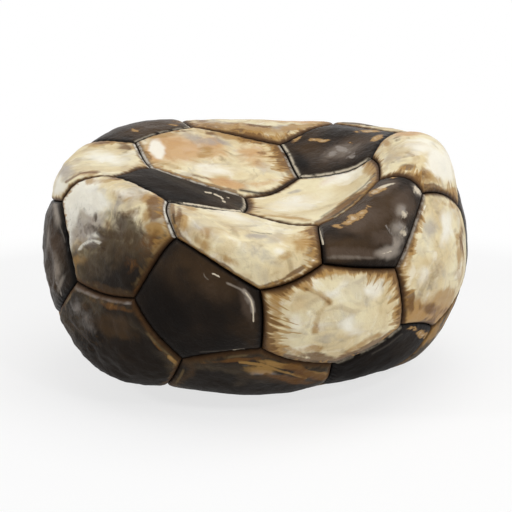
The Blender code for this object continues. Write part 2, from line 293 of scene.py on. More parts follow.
def smooth(low, high, x):
    t = np.clip((x - low) / (high - low), 0, 1)
    return t * t * (3 - 2 * t)


# What happened to each panel

# Spots on the leather as the camera sees them: kind, place, half width and height in picture
# pixels, turn in degrees, strength
spots = {
    "white_front_left_hump": [
        # the pale spots on the upper left and down the left edge are a painted highlight; the grime and dark
        # spots low down are dirt and painted shade
        ("grimeAndShade", 126, 306, 74, 68, 0, 1.14), ("grimeAndShade", 146, 268, 24, 34, 40, 0.65),
        ("pale", 76, 194, 26, 16, -25, 1.6), ("pale", 64, 212, 12, 24, 10, 1.6),
        ("pale", 90, 200, 24, 14, 10, 1.4), ("pale", 120, 190, 26, 9, 10, 0.6),
        ("tan", 90, 181, 8, 4, 0, 0.8), ("grey", 93, 189, 7, 3.5, -10, 1.0),
        ("tan", 126, 196, 24, 8, 12, 0.35), ("dark", 106, 288, 34, 5, 17, 0.5),
        ("pale", 66, 238, 7, 18, -10, 1.2), ("grey", 82, 224, 26, 24, 0, 1.0),
        ("grey", 116, 206, 16, 10, 20, 0.4), ("grey", 88, 240, 18, 8, 0, 0.6),
        ("tan", 105, 180, 34, 3, -8, 0.6), ("brown", 118, 177, 18, 2.5, 0, 0.7),
        ("tan", 150, 202, 16, 8, 15, 0.8), ("tan", 146, 216, 8, 9, 0, 0.7),
        ("brown", 158, 208, 13, 13, 10, 1.3),
        ("brown", 128, 214, 14, 7, -20, 0.7), ("dirtAndShade", 126, 227, 21, 14, 40, 1.0),
        ("dirtAndShade", 106, 232, 20, 7, 20, 0.8), ("tan", 154, 230, 10, 8, 30, 0.9),
        ("brown", 146, 244, 12, 15, 30, 0.7), ("dirtAndShade", 144, 254, 9, 14, 30, 0.5),
        ("tan", 80, 260, 12, 7, -20, 0.5), ("pale", 96, 236, 10, 5, 0, 0.7),
        ("brown", 160, 262, 6, 22, 38, 0.7), ("brown", 130, 264, 16, 12, 0, 0.5),
        ("crackle", 84, 234, 26, 26, 0, 0.7), ("pale", 64, 226, 8, 30, -6, 1.2),
        ("pale", 99, 235, 5, 4.5, -30, 1.0), ("dirtAndShade", 84, 209, 3, 3, 20, 0.5),
        ("dirtAndShade", 95, 217, 2, 6, 5, 0.75), ("dirtAndShade", 64, 229, 2.5, 5, 0, 0.6), ("dirtAndShade", 81, 232, 3, 4, 0, 0.6),
    ],
    "white_front_lip": [
        ("tan", 190, 207, 12, 5, 20, 0.8), ("brown", 179, 218, 5, 16, 6, 0.9),
        ("tan", 182, 221, 8, 13, -20, 0.8), ("grey", 208, 232, 22, 7, 30, 0.5),
        ("tan", 208, 234, 8, 9, 50, 0.55),
        ("grey", 256, 237, 14, 5, 5, 0.7),
        ("grey", 272, 240, 14, 6, -20, 0.5), ("grey", 262, 256, 24, 8, 20, 0.6),
        ("tan", 286, 256, 16, 7, -30, 0.6), ("tan", 232, 262, 20, 4, 30, 0.7),
        ("pale", 226, 214, 40, 8, 14, 0.7), ("pale", 262, 228, 20, 6, 10, 0.5),
        ("pale", 280, 250, 9, 6, -25, 0.7), ("tan", 302, 242, 12, 12, 20, 0.7),
        ("brown", 313, 242, 6, 18, 15, 0.8), ("tan", 272, 276, 14, 4, -30, 0.3),
        ("dirtAndShade", 316, 252, 4, 12, 20, 0.6), ("tan", 204, 246, 10, 6, 30, 0.6),
    ],
    "white_front_right": [
        ("tan", 274, 312, 6, 30, 0, 0.6), ("pale", 288, 314, 8, 8, 0, 0.5),
        ("tan", 330, 272, 52, 5, 0, 0.8), ("brown", 360, 270, 30, 3.5, 0, 0.8),
        ("tan", 385, 276, 14, 6, 0, 0.7), ("tan", 396, 318, 5, 14, 0, 0.6),
        ("brown", 400, 312, 3, 26, 0, 0.7), ("brown", 316, 357, 22, 5, 8, 1.0),
        ("tan", 311, 350, 13, 6, 6, 0.8),
        ("tan", 292, 350, 20, 6, 16, 0.8), ("brown", 284, 351, 18, 3.5, 14, 0.8),
        ("tan", 360, 346, 32, 4, -28, 0.8), ("orange", 302, 306, 18, 12, 0, 0.30),
        ("grey", 352, 316, 12, 10, 20, 0.4), ("grey", 330, 338, 20, 7, -10, 0.4),
        ("grey", 368, 302, 8, 8, 0, 0.5), ("pale", 374, 292, 13, 12, 0, 0.9),
        ("pale", 338, 296, 14, 9, 20, 0.6), ("pale", 316, 324, 18, 12, 0, 0.5),
        ("pale", 352, 326, 16, 12, 0, 0.8), ("pale", 296, 320, 12, 10, 0, 0.7),
    ],
    "white_right_front": [
        ("brown", 410, 300, 7, 14, 0, 1.0), ("brown", 432, 308, 14, 9, 8, 0.8),
        ("tan", 420, 314, 30, 14, 8, 1.4), ("tan", 440, 302, 16, 12, -50, 1.3),
        ("tan", 460, 255, 4, 36, 0, 0.75), ("brown", 462, 240, 2.5, 20, 0, 0.6),
        ("tan", 410, 250, 4, 34, 10, 0.8), ("grey", 428, 228, 9, 16, 10, 0.6),
        ("grey", 446, 272, 9, 12, 0, 0.4), ("grey", 436, 288, 8, 7, 0, 0.4),
        ("pale", 446, 228, 9, 22, 5, 0.9), ("pale", 424, 276, 10, 14, 0, 0.7),
        ("tan", 452, 206, 14, 4, 14, 0.6), ("orange", 428, 314, 24, 12, 0, 1.2),
        ("brown", 426, 296, 8, 3, 20, 0.4),
    ],
    "white_rim_right": [
        ("brown", 423, 174, 9, 5, 40, 0.7), ("brown", 408, 167, 8, 4, 0, 0.8),
        ("brown", 434, 188, 16, 4, 22, 0.95), ("tan", 430, 178, 20, 8, 25, 0.7),
        ("dirtAndShade", 434, 191, 16, 3, 20, 0.7), ("orange", 408, 133, 17, 4, -6, 0.95),
        ("brown", 398, 138, 6, 3, -30, 0.6), ("tan", 386, 141, 5, 7, 20, 0.8),
        ("grey", 396, 156, 14, 8, -10, 0.5), ("grey", 415, 150, 10, 6, 0, 0.4),
        # the tall pale spot on the right is a painted highlight
        ("pale", 440, 163, 13, 22, -30, 1.2), ("pale", 420, 146, 18, 9, 10, 0.9),
        ("tan", 452, 193, 10, 6, 20, 0.9), ("pale", 428, 168, 8, 5, 30, 0.8),
    ],
    "white_dent_middle": [
        ("orange", 176, 148, 30, 15, 4, 1.0), ("orange", 152, 154, 14, 12, 30, 0.8),
        ("orange", 212, 148, 22, 11, 10, 0.75), ("orange", 254, 154, 22, 14, 20, 0.65),
        ("grey", 192, 136, 14, 5, 8, 0.7), ("grey", 206, 143, 14, 5, 10, 0.55),
        ("grey", 226, 144, 14, 6, 20, 0.7), ("tan", 206, 152, 9, 5, 10, 0.7),
        ("brown", 224, 158, 7, 4, 20, 0.5), ("pale", 158, 149, 9, 8, 40, 1.5),
        ("pale", 238, 150, 8, 6, 20, 0.35), ("brown", 262, 156, 7, 10, 30, 0.45),
        ("brown", 211, 134, 7, 3, 10, 0.7),
        ("tan", 240, 137, 34, 4, 9, 0.95), ("brown", 254, 140, 22, 3, 12, 0.85),
        ("brown", 142, 151, 15, 4.5, 53, 1.0), ("brown", 284, 158, 22, 7, 57, 1.05),
        ("brown", 276, 146, 11, 7, 20, 0.9), ("dirtAndShade", 288, 161, 18, 3.5, 57, 0.7),
        ("orange", 224, 183, 24, 4.5, 14, 1.0), ("tan", 208, 162, 28, 9, 6, 0.35),
        ("brown", 204, 178, 14, 3, 14, 0.7), ("tan", 170, 166, 18, 3.5, 18, 0.6),
        ("pale", 212, 169, 36, 8, 10, 0.75), ("orange", 262, 183, 22, 4, -4, 0.6),
        ("tan", 160, 136, 24, 3, -6, 0.9), ("brown", 182, 131, 16, 2, -4, 0.6),
    ],
    "white_dent_ramp": [
        ("tan", 249, 202, 6, 8, 0, 0.9), ("orange", 333, 177, 18, 4, -30, 0.75),
        ("tan", 371, 166, 8, 12, 15, 0.9), ("brown", 376, 172, 4, 9, 10, 0.8),
        ("pale", 300, 202, 40, 11, -15, 0.7), ("pale", 340, 176, 30, 9, -25, 0.9),
        ("pale", 360, 163, 12, 5, -20, 1.2), ("grey", 294, 191, 8, 2.5, -20, 0.8),
        ("tan", 290, 217, 26, 3, 6, 0.7), ("tan", 350, 200, 34, 4, -33, 1.0),
        ("brown", 342, 208, 34, 3, -33, 0.8),
    ],
    "white_rim_left": [
        ("tan", 106, 141, 25, 5, -8, 1.0), ("brown", 104, 141, 18, 3, -8, 0.9),
        ("brown", 124, 147, 9, 6, 10, 0.7), ("tan", 88, 173, 16, 4, -8, 0.8),
        ("grey", 66, 172, 10, 10, -40, 0.9), ("pale", 60, 186, 10, 12, 30, 0.9),
        ("pale", 105, 158, 26, 7, 5, 0.9), ("tan", 128, 166, 16, 3, -5, 0.4),
        ("grey", 92, 160, 9, 4, 0, 0.5), ("dirtAndShade", 53, 200, 5, 6, 0, 0.5),
    ],
    "white_rim_rear": [
        ("tan", 240, 129, 70, 6, 4, 0.8), ("grey", 212, 125, 26, 3.5, 0, 0.9),
        ("grey", 254, 128, 22, 4, 8, 0.8),
        ("brown", 232, 132, 40, 4, 9, 1.0), ("brown", 262, 139, 20, 3, 12, 1.0),
        ("grey", 284, 129, 20, 4, 0, 0.8), ("brown", 258, 126, 20, 1.8, 4, 0.8),
        ("tan", 306, 127, 34, 4, -6, 1.0), ("orange", 300, 121, 40, 2.4, 0, 0.9),
        ("tan", 360, 122, 50, 4, 4, 1.0), ("brown", 385, 128, 18, 2, 10, 0.8),
        ("brown", 200, 121, 12, 2, 0, 0.8), ("brown", 330, 124, 26, 1.6, -4, 0.7),
    ],
    "white_low_left": [
        # the grime and dark spots are dirt and painted shade on the low side
        ("grimeAndShade", 124, 362, 72, 50, 36, 1.25), ("grimeAndShade", 104, 310, 44, 12, 14, 0.75),
        ("brown", 116, 307, 30, 4, 14, 0.6), ("grey", 82, 288, 14, 4, 8, 0.8),
        ("dirtAndShade", 84, 306, 3, 7, -30, 0.9), ("dirtAndShade", 90, 305, 2, 6, -30, 0.8),
        ("grey", 82, 316, 12, 26, -26, 0.40), ("tan", 82, 314, 12, 20, -20, 0.25),
        ("brown", 132, 332, 12, 12, 0, 0.15), ("grey", 76, 306, 6, 8, 0, 0.5),
        ("dark", 114, 326, 26, 12, 20, 0.5),
        ("crackle", 84, 326, 22, 34, 0, 1.0),
    ],
    "white_low_front": [
        # the grime and dark spots are dirt and painted shade on the low side
        ("grimeAndShade", 205, 380, 44, 18, 0, 1.25), ("grimeAndShade", 250, 394, 90, 13, -3, 1.3),
        ("brown", 232, 360, 50, 2.5, -4, 0.6), ("tan", 260, 370, 26, 5, 4, 0.7),
        ("grey", 264, 373, 18, 3, 4, 0.8), ("tan", 284, 366, 26, 3, 12, 0.9),
        ("brown", 306, 372, 26, 5, 14, 1.1),
        ("tan", 318, 374, 18, 4, 14, 1.0), ("brown", 286, 378, 30, 4, 6, 0.9),
        ("pale", 258, 370, 12, 2.5, 6, 0.45), ("pale", 246, 365, 8, 2, 0, 0.4),
        ("dirtAndShade", 262, 378, 30, 4, 10, 0.7), ("dark", 178, 370, 18, 14, 0, 0.9),
    ],
    "black_front": [
        # the dark spots on the left are painted shade; the sheen and gloss spots on the right rim are
        # painted sheen and highlight
        ("dark", 160, 310, 30, 60, -30, 1.0), ("dark", 196, 345, 50, 18, 0, 0.9),
        ("dark", 216, 320, 40, 30, 0, 0.5), ("paintedSheen", 214, 290, 28, 16, 30, 0.35),
        ("warm", 220, 286, 34, 22, 30, 0.8), ("paintedSheen", 248, 304, 7, 24, -14, 0.8),
        ("warm", 182, 262, 14, 10, 30, 0.5), ("paintedHighlight", 248, 300, 3, 9, -24, 0.6),
    ],
    "black_front_right_rim": [
        # the sheen, gloss and grey spots are painted sheen and highlights, the pale chips on the right
        # painted glints on the crinkles; the other chips are worn leather
        ("chip", 352, 221, 13, 4.5, -22, 0.95), ("chip", 362, 214, 8, 3.4, -30, 0.9),
        ("chip", 343, 208, 12, 2.4, -25, 0.95), ("chip", 338, 227, 8, 2.4, 0, 0.75),
        ("chip", 330, 213, 6, 2, -20, 0.8), ("chip", 368, 207, 4, 2.4, 0, 0.8),
        ("chip", 341, 202, 6, 1.8, -20, 0.8), ("palechip", 386, 186, 10, 1.6, -18, 0.9),
        ("chip", 378, 191, 13, 3, -20, 0.95), ("chip", 394, 176, 8, 2, -10, 0.8),
        ("paintedSheen", 386, 188, 16, 8, -20, 1.0), ("warm", 368, 214, 40, 26, -10, 1.2),
        ("paintedSheen", 364, 220, 30, 16, -16, 0.8), ("paintedSheen", 404, 208, 12, 22, 15, 1.0),
        ("warm", 350, 246, 44, 18, 0, 0.8), ("paintedSheen", 352, 254, 44, 8, 0, 0.8),
        ("paintedHighlight", 387, 251, 13, 8, -20, 1.0), ("paintedHighlight", 394, 243, 6, 12, 15, 0.9),
        ("paintedHighlight", 350, 258, 36, 3, 0, 0.5),
        ("paintedHighlight", 402, 212, 6, 8, 20, 0.8), ("paintedHighlight", 397, 230, 9, 9, -30, 0.9),
        ("grey", 404, 214, 5, 8, 20, 0.7), ("grey", 399, 229, 7, 7, -30, 0.8),
        ("dark", 345, 236, 22, 6, 0, 0.5), ("paintedSheen", 384, 238, 14, 8, 0, 0.8),
        ("paintedHighlight", 418, 191, 4, 9, -36, 0.9), ("paintedHighlight", 320, 234, 3, 12, -8, 1.0),
        ("crackle", 400, 224, 16, 18, 0, 1.0), ("crackle", 356, 216, 26, 14, 0, 0.4),
        ("palechip", 404, 217, 6, 4.5, -40, 0.62), ("palechip", 401, 232, 4, 8, 20, 0.56),
        ("palechip", 417, 191, 4, 8, -38, 0.66),
    ],
    "black_top_rear_right": [
        # the sheen, gloss and grey spots are painted sheen and highlight; the chips are worn leather
        ("paintedSheen", 340, 152, 30, 13, -14, 0.8), ("warm", 310, 150, 18, 9, 10, 0.7),
        ("warm", 358, 140, 24, 8, 0, 0.7), ("paintedHighlight", 338, 152, 26, 9, -14, 0.55),
        ("chip", 368, 131, 12, 2.2, 0, 1.1), ("chip", 297, 139, 7, 2.4, -20, 0.8),
        ("chip", 318, 140, 10, 2.2, 0, 0.9),
        ("grey", 341, 150, 9, 4.5, 20, 1.0), ("chip", 349, 143, 4, 1.6, 0, 0.8),
        ("chip", 376, 138, 8, 2.4, -20, 0.9), ("grey", 332, 154, 7, 3, 0, 0.9),
        ("grey", 352, 156, 10, 2.5, -14, 0.7), ("dark", 302, 162, 10, 6, 50, 0.8),
    ],
    "black_dent_front_left": [
        ("dark", 170, 186, 90, 20, 10, 0.9), ("warm", 160, 182, 60, 10, 12, 0.8),
        ("warm", 222, 198, 24, 7, 6, 1.0), ("warm", 190, 186, 40, 10, 12, 0.9),
    ],
    "black_top_rear_left": [
        ("chip", 138, 131, 8, 4, 20, 0.45), ("chip", 180, 122, 14, 2.5, -10, 0.6),
        ("warm", 150, 128, 40, 8, -10, 0.9), ("chip", 188, 122, 4, 2, 0, 0.9),
    ],
    "black_left": [
        # the gloss and sheen spots are painted highlight and sheen
        ("paintedHighlight", 58, 270, 4, 22, -10, 0.7), ("paintedHighlight", 48, 235, 3, 16, 0, 0.6),
        ("paintedHighlight", 62, 284, 3, 12, 20, 0.7), ("paintedSheen", 54, 250, 8, 40, 0, 0.7),
        ("paintedHighlight", 60, 210, 8, 16, 0, 1.1), ("crackle", 54, 256, 10, 40, 0, 1.0),
        ("warm", 54, 262, 12, 40, 0, 0.6),
    ],
    "black_low_front_right": [
        # the dark spot is painted shade on the low front
        ("chip", 423, 335, 7, 4, 10, 0.95), ("chip", 412, 329, 6, 2.4, 0, 0.85),
        ("dark", 370, 362, 80, 26, -20, 1.4), ("warm", 405, 345, 22, 10, -30, 1.0),
    ],
}

# Strokes and scratches: kind, points in picture pixels, half width in pixels, strength
strokes = {
    "white_front_right": [
        ("brown", [(301, 287), (312, 292), (325, 299), (330, 304), (322, 310), (317, 326)], 2.2, 0.5),
        ("tan", [(300, 284), (318, 294), (329, 303), (319, 312), (315, 330)], 5.6, 0.66),
        ("brown", [(264, 348), (284, 355), (304, 360), (337, 361)], 3.4, 0.95),
        ("brown", [(337, 361), (364, 349), (388, 336), (401, 328)], 3.4, 0.95),
        ("dirtAndShade", [(284, 357), (304, 362), (337, 362), (364, 351), (388, 338)], 1.8, 0.8),
    ],
    "white_rim_left": [
        ("tan", [(82, 141), (104, 139), (130, 142)], 3.0, 0.8),
        ("brown", [(100, 172), (80, 173), (66, 182)], 1.8, 0.7),
    ],
    "white_low_front": [
        ("tan", [(240, 362), (262, 365), (280, 371), (306, 378)], 1.8, 0.8),
    ],
    "white_dent_ramp": [
        # the first line is a painted shadow under the overhanging edge at the dent's crease
        ("line", [(240, 190), (258, 193), (272, 193), (285, 185), (299, 177)], 1.5, 1.0),
        ("brown", [(318, 223), (336, 212), (354, 200), (369, 187), (378, 177)], 3.8, 0.95),
        ("dirtAndShade", [(319, 225), (337, 214), (354, 202), (370, 188)], 1.5, 0.8),
        ("line", [(321, 217), (340, 205), (356, 194)], 0.8, 0.6),
        ("line", [(350, 197), (364, 186), (375, 174)], 0.9, 0.7),
    ],
    "white_dent_middle": [
        # the line is a painted shadow under this panel's overhanging edge at the dent's crease
        ("line", [(240, 190), (258, 193), (272, 193), (285, 185), (299, 177)], 1.3, 1.0),
        ("brown", [(206, 129), (232, 133), (256, 139), (270, 142)], 1.4, 0.8),
        ("brown", [(156, 168), (182, 177), (208, 185), (236, 192)], 2.6, 0.9),
        ("dirtAndShade", [(168, 174), (190, 181), (220, 190)], 1.3, 0.8),
    ],
    "black_dent_front_left": [
        ("palechip", [(205, 192), (211, 193)], 0.9, 0.9),
        ("palechip", [(214, 194), (221, 197), (223, 199)], 1.0, 0.9),
        ("palechip", [(223, 201), (225, 202)], 1.3, 0.8),
        ("palechip", [(226, 197), (229, 198)], 0.8, 0.6),
        ("palechip", [(184, 203), (204, 206), (226, 210), (240, 211)], 1.1, 0.8),
    ],
    "black_front": [
        # the gloss strokes and the pale line down the right rim are a painted highlight
        ("paintedHighlight", [(227, 283), (240, 289), (247, 294), (251, 301)], 1.5, 0.75),
        ("paintedHighlight", [(244, 291), (249, 297), (252, 303), (253, 311)], 2.6, 1.1),
        ("palechip", [(246, 293), (251, 300), (253, 308), (253.5, 321)], 0.9, 1.1),
        ("paintedHighlight", [(200, 352), (222, 351), (244, 349)], 1.0, 0.8),
        ("paintedHighlight", [(204, 273), (205, 276), (208, 280)], 0.9, 0.7),
        ("palechip", [(212.5, 273), (216, 274.5), (219, 276)], 0.8, 1.0),
        ("palechip", [(233, 350), (241, 349.5)], 0.7, 0.6),
    ],
    "black_front_right_rim": [
        # the pale line on the left edge and the grey dash on the crease are painted highlights
        ("palechip", [(318, 226), (320, 233), (323, 244)], 1.3, 0.9),
        ("grey", [(386, 226), (390, 232), (396, 236)], 1.2, 0.8),
        ("palechip", [(382, 254), (392, 251)], 1.0, 0.6),
    ],
    "white_right_front": [
        # a painted highlight along the left edge
        ("pale", [(425, 206), (418, 220), (410, 245), (404, 268)], 1.5, 0.9),
    ],
    "white_front_left_hump": [
        # the pale strokes along the crease are a painted highlight and the dirt strokes beside them painted
        # shadow; the long pale stroke down the left edge is a painted highlight
        ("pale", [(81, 249), (84, 245), (89, 242)], 1.9, 1.0),
        ("pale", [(89, 242), (95, 240.5), (101, 243)], 1.6, 0.9),
        ("dirtAndShade", [(100, 247), (105, 250), (109, 250)], 1.2, 0.9),
        ("dirtAndShade", [(84, 249), (91, 245), (98, 247)], 0.8, 0.5),
        ("pale", [(58, 202), (60, 222), (66, 250), (72, 268)], 3.0, 1.0),
        ("brown", [(172, 200), (174, 222), (172, 238), (156, 268), (136, 292)], 3.0, 0.7),
    ],
    "white_low_left": [
        ("brown", [(133, 308), (143, 322), (152, 340), (164, 354), (177, 364)], 1.6, 0.45),
        # a painted highlight along the top edge
        ("grey", [(80, 289), (95, 296), (114, 301), (130, 303)], 2.4, 0.75),
        ("tan", [(169, 357), (174, 361), (178, 366)], 2.4, 0.9),
        ("pale", [(169, 357), (173, 360)], 1.1, 0.5),
        ("dirtAndShade", [(72, 324), (80, 334), (90, 344)], 1.2, 0.8),
        ("dirtAndShade", [(80, 328), (90, 338), (98, 346)], 1.0, 0.7),
    ],
    "white_front_lip": [
        # a painted highlight on the rolled edge
        ("pale", [(312, 262), (318, 256), (321, 248)], 1.4, 0.8),
        ("brown", [(172, 206), (174, 222), (178, 236), (192, 248)], 3.8, 0.95),
        ("brown", [(192, 248), (210, 259), (230, 271), (258, 288)], 3.8, 0.95),
        ("dirtAndShade", [(173, 214), (176, 236), (190, 248), (210, 260), (232, 273)], 1.8, 0.9),
        ("brown", [(262, 288), (282, 280), (304, 267)], 2.4, 0.9),
        ("dirtAndShade", [(250, 231), (260, 233), (272, 234)], 0.9, 0.5),
    ],
    "black_low_front_right": [
        # a painted highlight along the top edge
        ("paintedHighlight", [(372, 354), (388, 345), (402, 334)], 1.4, 0.8),
    ],
    "black_left": [
        # the dark stroke is painted shade, the gloss and grey strokes painted highlights
        ("dark", [(61, 206), (65, 225), (70, 245), (74, 268), (76, 281)], 4.2, 1.2),
        ("paintedHighlight", [(55, 208), (60, 226), (65, 242)], 1.3, 0.6),
        ("grey", [(56, 262), (57, 280), (62, 296)], 1.2, 0.7),
    ],
}

# How dirty each panel is all over, and how far the stain reaches in from its seams, mm
soiling = {
    "usual": {"all over": 0.5, "seams": 2.2},
    "white_front_left_hump": {
        "all over": 0.7, "seams": 1.8, "white_front_lip": 2.6, "black_front": 2.6, "white_low_left": 2.0,
    },
    "white_front_lip": {
        "all over": 0.35, "seams": 1.3, "black_front_right_rim": 5.0, "white_front_left_hump": 2.2,
        "white_front_right": 2.2, "black_front": 1.6,
    },
    "white_front_right": {
        "all over": 0.3, "seams": 3.0, "black_front": 7.0, "white_right_front": 5.0,
        "black_front_right_rim": 4.5, "white_low_front": 4.0,
    },
    "white_right_front": {
        "all over": 0.35, "seams": 2.2, "black_low_front_right": 8.0, "white_front_right": 3.0,
        "black_front_right_rim": 3.2,
    },
    "white_rim_right": {
        "all over": 0.45, "seams": 2.4, "black_front_right_rim": 4.5, "white_right_front": 4.0,
    },
    "white_dent_middle": {
        "all over": 0.5, "seams": 2.4, "white_rim_left": 3.4, "black_top_rear_right": 7.0,
        "white_rim_rear": 3.4, "white_dent_ramp": 1.2,
    },
    "white_dent_ramp": {
        "all over": 0.05, "seams": 1.2, "white_rim_right": 4.0, "black_front_right_rim": 2.6,
        "black_dent_front_left": 3.0,
    },
    "white_rim_left": {"all over": 0.3, "seams": 1.8, "black_top_rear_left": 3.0},
    "white_rim_rear": {"all over": 1.0, "seams": 4.5},
    "white_low_left": {"all over": 0.6, "seams": 2.0, "black_front": 0.8},
    "white_low_front": {"all over": 0.6, "seams": 2.6, "black_front": 1.0},
}
grimeAndShade = {  # how dark a panel is painted, with dirt from the ground and painted shade on the low side
    "white_low_left": 0.78, "white_low_front": 0.75, "white_low_left_side": 0.5, "white_low_right": 0.65,
    "white_underside_left": 0.5, "white_underside_front": 0.5, "white_low_rear": 0.3,
    "white_low_rear_right": 0.25, "white_rear_left": 0.2, "white_rear_left_mid": 0.15,
}
crumple = {  # how uneven the leather is, against the usual 1
    "white_front_left_hump": 3.8, "white_low_left": 3.0, "black_left": 2.4, "black_front_right_rim": 1.5,
    "white_rim_left": 1.3, "white_dent_ramp": 0.7, "black_front": 0.8, "black_dent_front_left": 0.6,
}

# Creases and scars as the camera sees them: points in picture pixels, half width and height in mm
creases = {
    "white_front_left_hump": [
        ([(80, 251), (82, 247), (87, 243), (93, 241), (98, 243), (103, 245)], 1.1, 1.3),
        ([(91, 239), (96, 236), (99, 232), (103, 231)], 1.0, 1.3),
        ([(83, 254), (89, 248), (97, 247), (104, 250)], 1.4, -1.2),
        ([(101, 250), (108, 252)], 1.0, 0.8),
        ([(62, 228), (68, 234), (66, 240)], 1.3, -0.6),
        ([(90, 208), (96, 214), (94, 222)], 1.4, -0.7),
        ([(70, 204), (76, 207), (82, 206)], 1.2, -0.5),
        ([(122, 236), (130, 246), (134, 262)], 2.2, 0.6),
        ([(74, 213), (72, 220)], 1.2, 0.5),
    ],
    "white_low_left": [
        ([(76, 304), (84, 300), (90, 308), (86, 314)], 1.3, -0.8),
        ([(72, 318), (78, 326), (84, 330), (92, 342)], 1.3, 0.8),
        ([(74, 330), (82, 338), (90, 346), (96, 356)], 1.4, -0.9),
        ([(84, 322), (92, 330), (100, 340)], 1.2, 0.6),
    ],
    "black_front": [
        ([(200, 262), (206, 270), (212, 275)], 1.2, 0.4),
        ([(204, 276), (212, 273), (220, 277)], 1.0, 0.5),
    ],
    "black_front_right_rim": [
        ([(396, 222), (402, 216), (409, 215)], 1.2, 0.9),
        ([(398, 230), (404, 226), (407, 219)], 1.2, 0.8),
        ([(390, 232), (396, 238), (402, 232)], 1.3, -0.7),
        ([(400, 238), (406, 232)], 1.0, 0.7),
    ],
    "black_left": [
        ([(52, 240), (57, 262), (56, 288)], 1.6, 0.9),
        ([(60, 236), (63, 254), (66, 270)], 1.6, -0.8),
        ([(50, 262), (52, 284)], 1.3, -0.7),
    ],
    "white_dent_ramp": [([(286, 193), (296, 188), (304, 187)], 1.3, -0.5)],
    "white_right_front": [([(448, 214), (452, 250), (450, 290)], 2.5, -0.5)],
}

# Seams where the edge of the first panel shows as a pale line, and how strongly
paleSeams = {
    ("white_rim_left", "white_dent_middle"): 0.9,
    ("white_dent_middle", "white_rim_left"): 0.6,
    ("black_top_rear_right", "white_dent_middle"): 1.0,
    ("white_dent_middle", "black_top_rear_right"): 0.4,
    ("white_front_left_hump", "white_front_lip"): 0.9,
    ("white_front_lip", "white_front_left_hump"): 0.3,
    ("white_front_left_hump", "black_dent_front_left"): 0.9,
    ("white_front_left_hump", "black_left"): 0.3,
    ("white_front_lip", "black_dent_front_left"): 0.9,
    ("black_dent_front_left", "white_dent_ramp"): 0.9,
    ("black_dent_front_left", "white_front_lip"): 0.4,
    ("white_dent_middle", "black_dent_front_left"): 0.5,
    ("white_dent_ramp", "black_top_rear_right"): 0.9,
    ("black_top_rear_right", "white_dent_ramp"): 1.0,
    ("black_top_rear_left", "white_rim_rear"): 0.9,
    ("black_top_rear_left", "white_dent_middle"): 0.4,
    ("white_right_front", "black_front_right_rim"): 0.3,
    ("black_low_front_right", "white_front_right"): 0.5,
}

# The kinds of mark that each leather's material shows
markKinds = {
    "white": ("orange", "grey", "pale", "tan", "brown", "dirtAndShade", "dark", "line", "grimeAndShade", "crackle"),
    "black": ("warm", "paintedSheen", "paintedHighlight", "grey", "dark", "chip", "palechip", "grimeAndShade", "crackle"),
}

# No blot is round: how far noise draws it aside in pixels, the noise's size in mm, its seed
blotDrift = {
    "across": ((3.6, 9, 71), (1.6, 3.5, 73)),
    "down": ((2.6, 9, 75), (1.2, 3.5, 77)),
}
blotWhole = 5  # pixels, and a smaller blot is drawn aside less

scatter = {  # wear where the photograph shows nothing, with half widths in mm
    "kinds": {
        "white": ("tan", "brown", "grey", "pale", "orange", "dirtAndShade"),
        # the scattered sheen on the black leather is painted sheen
        "black": ("chip", "paintedSheen", "palechip", "warm", "paintedSheen"),
    },
    "count": {"white": 16, "black": 10},
    "stains": (4, 13), "chips": (1.5, 4),
}
# darker towards the floor: dirt from the ground and painted shade
groundDirtAndShade = {"heights": (32, 4), "white": 0.55, "black": 0.7}  # heights in mm, then how dark


# Building a panel

# triangles of a fan of rings, ring j with j steps to a side
def fanFaces(sides, rings):
    start = [0] + [1 + sides * j * (j - 1) // 2 for j in range(1, rings + 1)]
    faces = []
    side = np.arange(sides)[:, None]
    for j in range(rings):
        k = np.arange(j + 1)[None]
        outer = lambda n: start[j + 1] + (side * (j + 1) + n) % (sides * (j + 1))
        inner = lambda n: start[j] + (side * j + n) % max(sides * j, 1)
        faces.append(np.stack(np.broadcast_arrays(inner(k), outer(k), outer(k + 1)), -1).reshape(-1, 3))
        if j:
            k = np.arange(j)[None]
            between = np.broadcast_arrays(inner(k), outer(k + 1), inner(k + 1))
            faces.append(np.stack(between, -1).reshape(-1, 3))
    return np.vstack(faces), start


# directions of a panel's points, ring by ring, with each one's side, share of the way out and place along
def layRings(corners):
    sides, rings = len(corners), leather["rings"]
    middle = corners.mean(axis=0)
    directions, side, share, along = [unit(middle)[None]], [np.zeros(1, int)], [np.zeros(1)], [np.zeros(1)]
    for j in range(1, rings + 1):
        out = 1 - (1 - j / rings) ** leather["ringBias"]
        t = (np.arange(j) / j)[None, :, None]
        edge = corners[:, None] + (np.roll(corners, -1, axis=0) - corners)[:, None] * t
        directions.append(unit(middle + out * (edge - middle)).reshape(-1, 3))
        side.append(np.repeat(np.arange(sides), j))
        share.append(np.full(sides * j, out))
        along.append(np.arange(sides * j) / j)
    return np.vstack(directions), np.concatenate(side), np.concatenate(share), np.concatenate(along)


